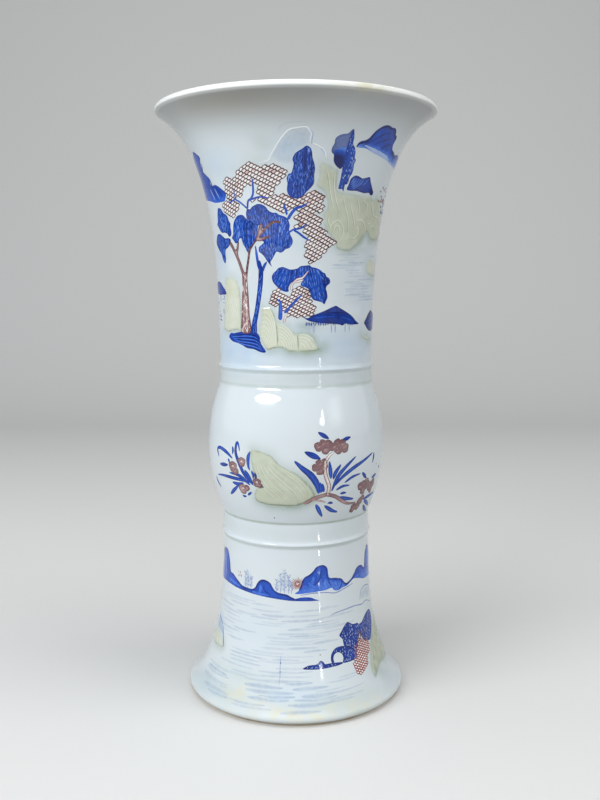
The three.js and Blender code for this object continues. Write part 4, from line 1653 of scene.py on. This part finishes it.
def lower_trees(brush):
    crown = [
        (-16.3, 317), (-15.5, 319.5), (-13.5, 321.5), (-11.5, 323.6), (-8.5, 324.3), (-6, 323.3),
        (-3.5, 322.5), (-1, 322.8), (1, 323.3), (3, 324.8), (6, 325.2), (9, 325.5), (10.5, 324.2),
        (13, 323.8), (16, 322.5), (18, 320.8), (20, 319.8), (20.8, 317.8), (22.5, 317), (23.7, 315),
        (23.3, 313), (21.5, 311.5), (20.7, 309.5), (21.5, 307), (22, 303.5), (21, 301), (19.8, 298.6),
        (18, 300), (15, 300.8), (12.5, 301.5), (10.8, 303), (9.8, 306), (8.5, 309), (6, 310.5), (3.8, 311),
        (3.3, 313), (4.5, 315), (2.5, 316.5), (0.5, 316.5), (-1.5, 314.5), (-3.5, 313), (-5, 310),
        (-5, 307.5), (-8, 307.5), (-11, 309), (-13.5, 311.5), (-15.5, 314)
    ]
    net = [
        (-17.5, 303), (-16.5, 306.5), (-14.5, 308.5), (-12, 309.5), (-10, 307.5), (-7, 306), (-4.5, 304.5),
        (-3, 306), (-1.5, 308.5), (0.5, 310.5), (3, 310), (6, 309.5), (8, 308.5), (9, 305.5), (10.5, 302),
        (10, 299.5), (12, 297.5), (14, 295.3), (12.5, 292.5), (9.5, 290.5), (5, 290.5), (1, 288.7),
        (-3, 290), (-6, 291), (-7.5, 294), (-9, 297), (-12, 302), (-12.5, 298), (-14, 296), (-16, 297.5),
        (-17.5, 299.5)
    ]
    fish_scales(brush, net, cell=(1.9, 2.8), tone=(0.8, 0.98), lean=1.85)
    foliage(brush, crown, (3, 350), spacing=0.85)
    leaf_shadow = [
        (19.5, 318), (21, 317.4), (23.3, 315), (22.8, 313), (20.8, 311.8), (20, 309), (18.6, 312),
        (18.8, 315)
    ]
    brush.fill("cobalt_line", leaf_shadow, 0.95, 0.8)
    brush.stroke("cobalt_line", [(20.2, 309), (20.9, 304), (20, 300)], 1.6, 0.92)
    twigs(brush, "cobalt_line", [[(-11, 287.6), (-10.6, 294), (-10.7, 301)]], 2.8, 0.45)
    small_twigs = [[(-10.8, 300.5), (-12.5, 302)], [(-8, 292.4), (-3, 298), (0.5, 301.8), (4.4, 305.6)]]
    twigs(brush, "cobalt_line", small_twigs, 1.6)
    limbs = [
        [(-8.2, 285.6), (-7.6, 288.8), (-5.6, 292.2)],
        [(-3.2, 308), (-2.6, 312), (0.8, 315.8), (4.5, 317), (8.4, 321.8)],
        [(-1.2, 313.8), (2.4, 314.6), (5, 315.6)]
    ]
    twigs(brush, "copper_top", limbs, 1.5, 0.2, 0.78)


def distant_scrub(brush):
    """Loose scribbles at the far right: a red patch above a blue one."""
    patches = [
        ("copper", 16, (63, 76), (371, 381), 0.4, 0.7, 0.6),
        ("cobalt", 12, (69, 79), (362, 371), 0.6, 0.9, 0.85),
    ]
    for kind, count, sides, levels, drop, width, tone in patches:
        for number in range(count):
            middle = brush.chance.uniform(*sides)
            level = brush.chance.uniform(*levels)
            scribble = [(middle - 1.6, level), (middle, level + 1), (middle + 1.5, level - drop)]
            brush.stroke(kind, scribble, width, tone)


def paint_neck(side, turn, mirror, seed):
    brush = Brush("neck", side, turn, mirror, seed)
    if not mirror:
        slip_mountain(brush)
    water(brush, (24, 56), (322, 337), 9)
    water(brush, (34, 84), (300, 322), 15)
    water(brush, (56, 86), (332, 343), 7)
    water(brush, (-86, -58), (288, 303), 7, (6, 12))
    motifs = [left_mountain, tree_nets, tree_crowns, blue_tree, tree_bank, red_tree, cypress, near_tree]
    motifs += [small_pavilion, right_mountain, great_roof, boat, far_village, lower_trees, distant_scrub]
    for paint in motifs:
        paint(brush)
    brush.finish()


# The painting of the bulb

def left_plant(brush):
    wide_blades = [
        [
            (-27.5, 170), (-33, 176), (-37, 184), (-40, 192), (-40, 198), (-39, 200.5), (-37.5, 197),
            (-37, 194)
        ],
        [(-43, 188), (-48, 191.5), (-53, 193.5), (-57, 194), (-59, 192), (-57.5, 187)]
    ]
    blades(brush, wide_blades, 1.9)
    long_blades = [
        [(-29.5, 172), (-36, 173), (-45, 173.5), (-55, 173.5), (-62, 172.5)],
        [(-29, 195), (-30.5, 190), (-30.5, 184), (-29.5, 181)], [(-33.5, 181), (-31, 177), (-28, 171)],
        [(-30, 170), (-38, 176), (-47, 177)], [(-49, 160), (-44, 164.5), (-39, 169)],
        [(-45, 170), (-40, 169.5), (-35, 171)]
    ]
    blades(brush, long_blades, 1.8)
    tips = [
        [(-66, 170.5), (-64, 167), (-60, 163)], [(-26, 180), (-25.5, 177), (-26.5, 174)],
        [(-43, 197), (-42.5, 194), (-43, 191)], [(-47, 187.5), (-46.5, 186), (-46, 184)],
        [(-37.5, 161.5), (-36, 160.8), (-34, 161)], [(-33, 162), (-31, 163.5), (-29.5, 165)],
        [(-28.5, 181), (-27.3, 178), (-27.5, 175)]
    ]
    blades(brush, tips, 1.3)
    leaf(brush, (-47.5, 182.5), (-57, 181.5), 3.0)
    berries = [
        [(-43, 182, 3.9), (-41, 179, 2.8)], [(-35.5, 186.5, 3.3)], [(-25, 172.5, 3.2), (-23, 170.6, 1.9)],
        [(-36, 166.5, 3.6), (-33, 167.5, 2.3)],
    ]
    for circles in berries:
        cloud(brush, circles, tone=0.42, line_tone=0.8)
        degrees, height, _ = circles[0]
        glow = [(degrees - 0.8, height + 0.3), (degrees, height + 0.6), (degrees + 0.7, height)]
        brush.stroke("copper_top", glow, 0.8, 0.1)
    brush.stroke("cobalt_line", [(-22, 171), (-21.3, 170), (-20.5, 169)], 1.0, 0.95)


def flower_branch(brush):
    """The flowering branch, its stem and its flowers."""
    branch = [
        (5, 157.6), (8, 159.5), (12, 161.8), (17.8, 163.5), (20.5, 163.8), (26.2, 161.8), (31.2, 158.2),
        (36.2, 155.2), (41.2, 154.2), (45, 154.5)
    ]
    stem = [
        (20.6, 163.2), (21, 170.2), (19, 176.2), (17.8, 181.5), (18, 187.5), (18.8, 190), (21.2, 193.2),
        (23.8, 195)
    ]
    twigs(brush, "copper", [branch], 2.9, 0.45, 0.88)
    twigs(brush, "copper", [stem], 2.9, 0.22, 0.88)
    side_twigs = [[(9, 160.5), (14, 160), (20, 158)], [(46, 154.5), (48.2, 155.2), (51, 159), (54, 160.5)]]
    twigs(brush, "copper", side_twigs, 1.3, 0.35, 0.88)
    clouds = [
        [
            (14, 199.4, 3.3), (18.2, 197.2, 3.3), (20, 200.8, 2.9), (22.8, 198.6, 2.9), (26.2, 200.8, 3.1),
            (26.5, 196.6, 3.3), (31, 197.4, 3.4), (29.4, 200.6, 2.9), (16.4, 201.6, 2.6)
        ],
        [(14.2, 187.4, 2.7), (12, 184.5, 2.7), (16.8, 185.4, 2.9), (14.8, 182, 2.9), (17, 188.6, 2.0)],
        [
            (46.8, 166.6, 3.0), (50, 163, 3.0), (54, 166.4, 3.4), (58, 164.2, 3.3), (62, 166, 3.3),
            (60.4, 161.2, 2.6), (53, 169.2, 2.3), (49.5, 167.8, 2.6)
        ],
        [(44.4, 150.6, 3.0), (48, 150.8, 3.0), (49.6, 154, 3.0), (52, 156.4, 2.0), (43.4, 148.6, 2.2)],
    ]
    for circles in clouds:
        cloud(brush, circles)


def right_leaves(brush):
    leaves = [
        ((20.5, 204.5), (13.5, 209.5), 3.2), ((29, 202.5), (36, 204.5), 2.8), ((15, 190.5), (5, 196), 4.2),
        ((52, 171.5), (46.5, 177), 2.8), ((66, 172), (59, 170.5), 2.8),
    ]
    for base, tip, width in leaves:
        leaf(brush, base, tip, width)
    blades(brush, [[(14.5, 165), (13, 172), (9, 179), (4, 184), (-1, 189.5)]], 3.2)
    wide_blades = [
        [(22, 175.5), (21.3, 182), (20.5, 188.5)],
        [(25, 170), (30, 176), (38, 181.5), (48, 186), (57, 190)], [(19, 155.5), (25, 151), (30, 149)]
    ]
    blades(brush, wide_blades, 2.0)
    long_blades = [
        [(23, 166), (27, 177), (33, 184), (40, 190)], [(16, 165.5), (15.5, 169), (15, 173.5)],
        [(17.8, 166), (16.8, 169), (16.5, 172.5)], [(23.5, 175), (25, 180), (28.5, 185.5)],
        [(29, 161), (35, 159), (42, 157.5)], [(13, 157), (16, 151), (18.5, 146.5)],
        [(53, 155), (62, 156), (72, 157)], [(55, 154), (62, 150), (67, 147)],
        [(56, 150), (62, 145), (70, 142)]
    ]
    blades(brush, long_blades, 2.0)
    short_blades = [
        [(32, 171.5), (38, 175), (45, 176.5)], [(26, 166.5), (31, 169), (36.5, 169)],
        [(29.5, 163.5), (32, 163.8), (34.5, 163.5)], [(25, 156.5), (23, 157.4), (21, 157)],
        [(59, 190), (58.5, 186), (57.5, 182)], [(69, 177), (70, 176.8), (71, 176)]
    ]
    blades(brush, short_blades, 1.4)


def paint_bulb(side, turn, mirror, seed):
    brush = Brush("bulb", side, turn, mirror, seed)
    for paint in (left_plant, flower_branch, right_leaves):
        paint(brush)
    if not mirror:
        for degrees, height in ((-15.3, 146), (64, 180)):
            left, right = degrees - 0.5, degrees + 0.5
            spot = [(left, height), (degrees, height + 0.6), (right, height), (degrees, height - 0.5)]
            brush.fill("cobalt_line", spot, 1.0, step=0.5)
    brush.finish()


# The painting of the foot

def far_hills(brush):
    """Hills that stand round the top of the foot."""
    left = [
        (-90, 92), (-84, 104), (-76, 111), (-73, 112), (-69, 112.5), (-66, 111.5), (-64, 108.5),
        (-62.5, 104), (-61.5, 99), (-60, 96.5), (-56, 96), (-52, 94), (-48, 92), (-44, 90), (-39, 89.5),
        (-34, 89.5), (-31, 91.5), (-29.5, 94.5), (-27.5, 97), (-25, 98), (-22, 97.5), (-19.5, 96),
        (-18, 93.5), (-16, 91), (-13, 89.5), (-7, 88.5), (-4, 87), (-1, 86), (3, 86.8), (7, 87), (11, 86.5),
        (14, 85), (17, 84), (9, 84), (-4, 84.5), (-10, 85), (-16, 85.5), (-24, 86), (-32, 86.5), (-40, 87),
        (-50, 87.5), (-60, 88), (-68, 88), (-76, 87.5), (-90, 88)
    ]
    right = [
        (-1, 89.8), (2, 92), (4, 95.5), (5, 99), (7, 101.5), (10, 103), (13, 105.5), (15, 108), (18, 109.3),
        (21, 109), (23, 107), (23.5, 104), (24, 100.5), (26, 98.8), (29, 98.5), (33, 98), (36, 96.5),
        (38.5, 93.5), (41, 92.5), (45, 94), (48, 96), (50, 98.5), (53, 101), (56, 102), (60, 101.5),
        (63, 99), (66, 99), (67, 104), (68.5, 109), (71, 112), (75, 113.5), (82, 108), (90, 96), (90, 89),
        (76, 89.5), (70, 90), (62, 91), (58, 92.5), (54, 93.5), (49, 94.5), (44, 92.5), (41, 91),
        (37, 90.5), (33, 89.2), (29, 90), (27, 92), (22, 91), (15, 90.5), (8, 90), (3, 89.5)
    ]
    brush.fill("cobalt", left, 0.5, 0.7)
    brush.fill("cobalt", right, 0.5, 0.68, tone_at=paling(89, 9, 0.45))
    ridges = [left[1:28], right[1:16], right[15:22], right[21:33]]
    brush.strokes("cobalt_line", ridges, 1.2, 0.84, start=0.05, end=0.05)
    folds = [
        [(24, 103), (24.5, 98), (27, 93)], [(36, 96), (36, 93), (33, 90)], [(19, 106), (17, 99), (12, 94)],
        [(-67, 108), (-67, 100), (-60, 92)], [(-24, 95), (-24, 91), (-19, 88)],
        [(57, 100), (55, 97), (57, 94)]
    ]
    brush.strokes("cobalt_line", folds, 1.0, 0.78)
    broad_lights = [
        [(13, 102), (12, 98), (9, 93.5)], [(30, 96.5), (31, 94), (31, 92)],
        [(-70, 106), (-70, 98), (-68, 92)], [(-27, 94.5), (-27, 91), (-28, 88.5)],
        [(72, 108), (74, 100), (76, 94)]
    ]
    brush.strokes("cobalt_line", broad_lights, 2.6, 0.3, 0.46)
    low_lights = [
        [(9, 98), (12, 95), (17, 93)], [(22, 99), (21.5, 95), (24, 92.5)], [(50, 96), (52, 95), (56, 96)],
        [(-34, 88.2), (-28, 87.6), (-20, 87.4)], [(-62, 92), (-54, 90.5), (-46, 89.4)]
    ]
    brush.strokes("cobalt_line", low_lights, 2.0, 0.32, 0.46)


def far_shore(brush):
    """Thin lines of the shore below the hills, and some haze."""
    brush.stroke("thin", [(3, 88.4), (12, 89.6), (22, 89.2), (30, 87.8), (38.5, 89.4), (48, 91.4)], 0.8, 0.3)
    shore_line = [(25, 71.5), (29.8, 73), (38.8, 73.8), (48, 74), (57, 72.6), (65, 73.2), (75, 69)]
    brush.stroke("thin", shore_line, 0.8, 0.3)
    brush.stroke("thin", [(55, 76), (56, 79), (57.8, 83.2), (64.5, 85), (76, 82)], 0.7, 0.28)
    brush.fill("wash", [(56, 77), (58, 83), (65, 85), (76, 82), (74, 74), (64, 75)], 0.5, 0.1, edge=2)


def bare_trees(brush):
    """Pale bare trees between the hills, in a pale wash."""
    left_saplings = [(-41, 101), (-38.5, 103), (-35.5, 100)]
    right_saplings = [(-14.5, 99), (-11.5, 104), (-8.5, 106), (-5.5, 103), (-3.5, 99)]
    for middle, top in left_saplings + right_saplings:
        brush.stroke("thin", [(middle, 89.5), (middle + 0.3, (top + 89) / 2), (middle - 0.2, top)], 0.7, 0.14)
        for twig in range(16):
            level = brush.chance.uniform(91, top)
            aim = brush.chance.choice((-1, 1)) * brush.chance.uniform(0.7, 2.0)
            tone = brush.chance.uniform(0.1, 0.35)
            sprig = [(middle, level), (middle + aim / 2, level + 1), (middle + aim, level + 1.6)]
            brush.stroke("thin", sprig, 0.6, tone)
    brush.fill("wash", [(-43, 90), (-43, 98), (-40, 103), (-36, 102), (-34, 96), (-34, 90)], 0.4, 0.0, edge=2)
    brush.fill("wash", [(-16, 91), (-15, 99), (-11, 105), (-7, 106), (-4, 101), (-3, 91)], 0.4, 0.0, edge=2)


def sun_tree(brush):
    """The round red tree, like a small sun, and red dots far to its left."""
    centre = np.array([1, 97])
    for turn in np.linspace(0, 2 * math.pi, 23)[:-1]:
        near, far = brush.chance.uniform(0.4, 1.2), brush.chance.uniform(4.0, 5.8)
        heading = np.array([math.cos(turn), math.sin(turn)])
        ray = [centre + reach * heading for reach in (near, (near + far) / 2, far)]
        brush.stroke("rust", ray, 0.42, 0.85, start=0.1, end=0.5)
    for number in range(9):
        middle, level = brush.chance.uniform(-49, -45), brush.chance.uniform(95.5, 101)
        dot = [(middle - 0.6, level - 0.5), (middle, level), (middle + 0.5, level + 0.8)]
        brush.stroke("copper", dot, 0.45, 0.4)


def lakeside(brush):
    """Trees and a bridge on the shore at the right."""
    left_crown = [
        (31.2, 56), (33.5, 59), (36, 62), (39.2, 64), (42, 62.6), (44.5, 61.2), (49.5, 60.6), (51, 57),
        (50.2, 53), (48.4, 49.5), (46.2, 45), (44, 41), (41.2, 43.8), (38.5, 46), (34.5, 47.8),
        (33.8, 50.5), (33.5, 53)
    ]
    right_crown = [
        (51, 59), (54, 59.6), (57, 61.5), (62, 64.2), (68.5, 65), (72, 61), (70.5, 54), (66.4, 48.6),
        (62, 44), (57, 45.4), (53.6, 47), (51, 52)
    ]
    bank = [
        (23.4, 38.5), (23.2, 42), (24.4, 45.2), (27.5, 47.9), (32.2, 48.3), (38, 46.8), (42.5, 43.2),
        (44.4, 40), (43.4, 37), (38, 36.3), (31.8, 36.7), (32.4, 40), (31.5, 43), (28.7, 44.7), (26, 43.6),
        (24.9, 41), (25.2, 38.3)
    ]
    shore = [
        (4.2, 36.2), (8, 38.3), (13.5, 38.7), (15.8, 40.8), (18, 39.6), (18.8, 38.2), (24, 38.2),
        (31.5, 37.2), (29, 35.9), (17, 35.3), (9.8, 35.5)
    ]
    net = [
        (46.8, 48.2), (49, 50.5), (51.5, 47.4), (54, 45.8), (56, 46.4), (59.5, 44.2), (58.8, 41),
        (57.4, 38), (53.8, 33.8), (51.8, 29.8), (46.8, 27), (42.8, 23.6), (41, 28), (38.8, 31.8),
        (41.2, 37), (43.2, 40), (43.8, 44.8)
    ]
    dense = {"tone": 0.76, "edge_tone": 0.9, "spacing": 0.5, "reach": (0.9, 1.9), "light": (0.03, 0.16)}
    for shape, root in ((left_crown, (40, 15)), (right_crown, (52, 20)), (bank, (28, 20)), (shore, (4, 30))):
        foliage(brush, shape, root, **dense)
    fish_scales(brush, net, cell=(2.2, 1.8), width=0.85, kind="rust", tone=(0.92, 1.0), lean=0.7)
    stems = [
        [(49.4, 47), (50.6, 51), (50, 55)], [(50, 49), (52, 52), (54.5, 54)],
        [(52, 46), (54, 50), (58, 55)], [(49, 52), (47.5, 54), (47, 56)]
    ]
    brush.strokes("copper_top", stems, 0.8, 0.62)
    brush.stroke("copper", [(15.8, 44.5), (16, 45), (16.3, 45.3)], 0.9, 0.4)


def sailing_boat(brush):
    """The small boat near the left edge."""
    brush.strokes("cobalt", [[(-65, 54), (-61, 46), (-58, 40)], [(-76, 58), (-71, 57), (-66, 54)]], 0.9, 0.45)
    brush.fill("wash", [(-76, 58), (-70, 57), (-65, 53), (-62, 48), (-68, 49), (-76, 50)], 0.75, 0.4)


def paint_foot(side, turn, mirror, seed):
    brush = Brush("foot", side, turn, mirror, seed)
    stretches = [
        ((-76, -28), (50, 82), 13), ((-36, 14), (46, 80), 13), ((-12, 36), (46, 80), 11),
        ((4, 60), (58, 72), 5), ((-60, -14), (26, 48), 8), ((-26, 16), (26, 46), 8),
        ((10, 48), (12, 30), 6),
    ]
    for sides, levels, count in stretches:
        water(brush, sides, levels, count, length=(16, 34))
    for sides, count in (((-74, -36), 7), ((-40, 0), 7), ((-10, 28), 6)):
        water(brush, sides, (9, 28), count, length=(16, 32), width=(2.6, 5.0), tone=(0.35, 0.75), tilt=0.03)
    for paint in (far_hills, far_shore, bare_trees, sun_tree, lakeside, sailing_boat):
        paint(brush)
    if not mirror:
        brush.stroke("cobalt_line", [(-10, 45), (-10.2, 38), (-9.9, 31), (-10.1, 25)], 0.22, 0.35)
        for height in (40, 34):
            knot = [(-10.5, height), (-10, height + 0.5), (-9.5, height), (-10, height - 0.5)]
            brush.fill("cobalt_line", knot, 0.9)
    brush.finish()


for rock in ROCKS:
    make_rock(rock)
for painted in (paint_neck, paint_bulb, paint_foot):
    painted("front", 0, False, 7)
paint_neck("back", NECK_BACK, True, 19)
paint_bulb("back", BACK, True, 23)
paint_foot("back", BACK, True, 29)


# Camera, fitted to the photograph's perspective

VIEW_DISTANCE = 678.7
VIEW_HEIGHT = 309.5
VIEW_PITCH = math.radians(7.16)
VIEW_YAW = math.radians(-0.26)
LENS = 39.92

camera_data = bpy.data.cameras.new("camera")
camera_data.lens = LENS
camera_data.sensor_width = 36
camera_data.clip_start = 0.01
camera = in_scene("camera", camera_data)
camera.location = (0, -VIEW_DISTANCE * MM, VIEW_HEIGHT * MM)
camera.rotation_euler = (math.pi / 2 - VIEW_PITCH, 0, VIEW_YAW)
bpy.context.scene.camera = camera


# Floor, backdrop and light

FLOOR_SEEN = shade(244, 244, 242)
FLOOR_LIGHTING = shade(142, 140, 138)
WORLD_SEEN = (0.80, 0.81, 0.82, 1)
WORLD_LIGHTING = (0.19, 0.205, 0.22, 1)
FLOOR_NEAR = -3.0
SWEEP_START = 1.3
SWEEP_RADIUS = 1.2
SWEEP_TOP = 3.6
SWEEP_HALF_WIDTH = 5.0


def shown_rays(nodes):
    """1 for rays of the camera and of reflections, 0 for light that is scattered."""
    path = nodes.add("ShaderNodeLightPath")
    shown = nodes.math("MAXIMUM", path.outputs["Is Camera Ray"], path.outputs["Is Glossy Ray"])
    return nodes.math("MAXIMUM", shown, path.outputs["Is Transmission Ray"])


def make_floor():
    """A floor that curves up into the backdrop behind the vase."""
    nodes = material_nodes("floor")
    material = nodes.finish(nodes.mix(shown_rays(nodes), FLOOR_LIGHTING, FLOOR_SEEN), 0.9)
    line = [(FLOOR_NEAR, 0.0)]
    for turn in np.linspace(0, math.pi / 2, 17):
        line.append((SWEEP_START + SWEEP_RADIUS * math.sin(turn), SWEEP_RADIUS * (1 - math.cos(turn))))
    line.append((SWEEP_START + SWEEP_RADIUS, SWEEP_TOP))
    vertices = [(x, y, z) for y, z in line for x in (-SWEEP_HALF_WIDTH, SWEEP_HALF_WIDTH)]
    faces = [(2 * n, 2 * n + 1, 2 * n + 3, 2 * n + 2) for n in range(len(line) - 1)]
    floor = in_scene("floor", new_mesh("floor", vertices, faces, [material]))


def make_world():
    world = bpy.data.worlds.new("studio")
    bpy.context.scene.world = world
    nodes = Nodes(world)
    background = nodes.add("ShaderNodeBackground")
    nodes.link(nodes.mix(shown_rays(nodes), WORLD_LIGHTING, WORLD_SEEN), background.inputs["Color"])
    nodes.link(background.outputs[0], nodes.add("ShaderNodeOutputWorld").inputs["Surface"])


def make_lamp(name, place, aim, size, radiance, colour=(1, 1, 1)):
    """A flat lamp that looks from a place at an aim."""
    light = bpy.data.lights.new(name, "AREA")
    light.shape = "RECTANGLE"
    light.size, light.size_y = size
    light.energy = radiance * math.pi * size[0] * size[1]
    light.color = colour
    lamp = in_scene(name, light)
    lamp.location = place
    lamp.rotation_euler = (Vector(place) - Vector(aim)).to_track_quat("Z", "Y").to_euler()
    lamp.visible_camera = False
    return lamp


def soft_box(name, azimuth, elevation, distance, size, radiance, colour=(1, 1, 1)):
    """A large lamp that looks at the vase's middle; only the overhead one is mirrored in the glaze."""
    turn = math.radians(azimuth)
    rise = math.radians(elevation)
    away = Vector((math.sin(turn) * math.cos(rise), -math.cos(turn) * math.cos(rise), math.sin(rise)))
    aim = Vector((0, 0, MOUTH_TOP * MM / 2))
    lamp = make_lamp(name, aim + away * distance, aim, size, radiance, colour)
    lamp.visible_glossy = name == "overhead"


def glint(name, azimuth, height, target, size, radiance, half_beam, shape="RECTANGLE", distance=260, roll=0):
    """A small lamp near the vase that only shows as a glint round its target, in degrees and height."""
    place = turned_point(azimuth, distance, height) * MM
    aim = turned_point(target[0], radius_at(target[1]), target[1]) * MM
    beam = math.radians(half_beam)
    narrowing = 1 - beam / math.tan(beam)
    lamp = make_lamp(name, tuple(place), tuple(aim), size, radiance * narrowing)
    rolled = lamp.rotation_euler.to_quaternion() @ Quaternion((0, 0, 1), math.radians(roll))
    lamp.rotation_euler = rolled.to_euler()
    lamp.data.shape = shape
    lamp.data.spread = 2 * beam
    lamp.visible_diffuse = False


make_floor()
make_world()
soft_box("overhead", 0, 80, 1.8, (1.8, 1.4), 1.7)
soft_box("left_window", -50, 17, 2.2, (1.6, 1.8), 4.0, (0.98, 0.995, 1.0))
soft_box("front_window", -10, 12, 2.4, (1.4, 1.0), 1.7, (0.97, 0.99, 1.0))
soft_box("right_window", 70, 17, 2.4, (1.8, 1.8), 2.55, (1.0, 0.985, 0.965))
glint("bulb_glint", -38.5, 351, (-19, 231), (0.19, 0.03), 70, 23, "ELLIPSE", 300, 8)
glint("window_pane", 49.6, 283, (26.5, 222.8), (0.1, 0.09), 3.0, 15)
glint("shoulder_glint", 30.5, 264, (16.5, 218), (0.02, 0.026), 24, 14, "ELLIPSE")
glint("shoulder_streak", 32, 276, (17, 219), (0.007, 0.05), 22, 16)
glint("rib_glint", 31.5, 235.5, (17, 253.5), (0.008, 0.005), 24, 6)
glint("collar_glint", 31.5, 219, (17, 241), (0.009, 0.009), 22, 6)
glint("waist_glint", 32, 67, (17.2, 127), (0.008, 0.014), 26, 6)
glint("hill_glint", 31.5, 48.4, (17.2, 99), (0.010, 0.006), 26, 4)
glint("foot_glint", 31, 42.3, (17.2, 71), (0.009, 0.003), 30, 4)
glint("shore_glint", 28, 74, (16, 34), (0.016, 0.022), 20, 5, "ELLIPSE")

bpy.context.scene.view_settings.view_transform = "Standard"
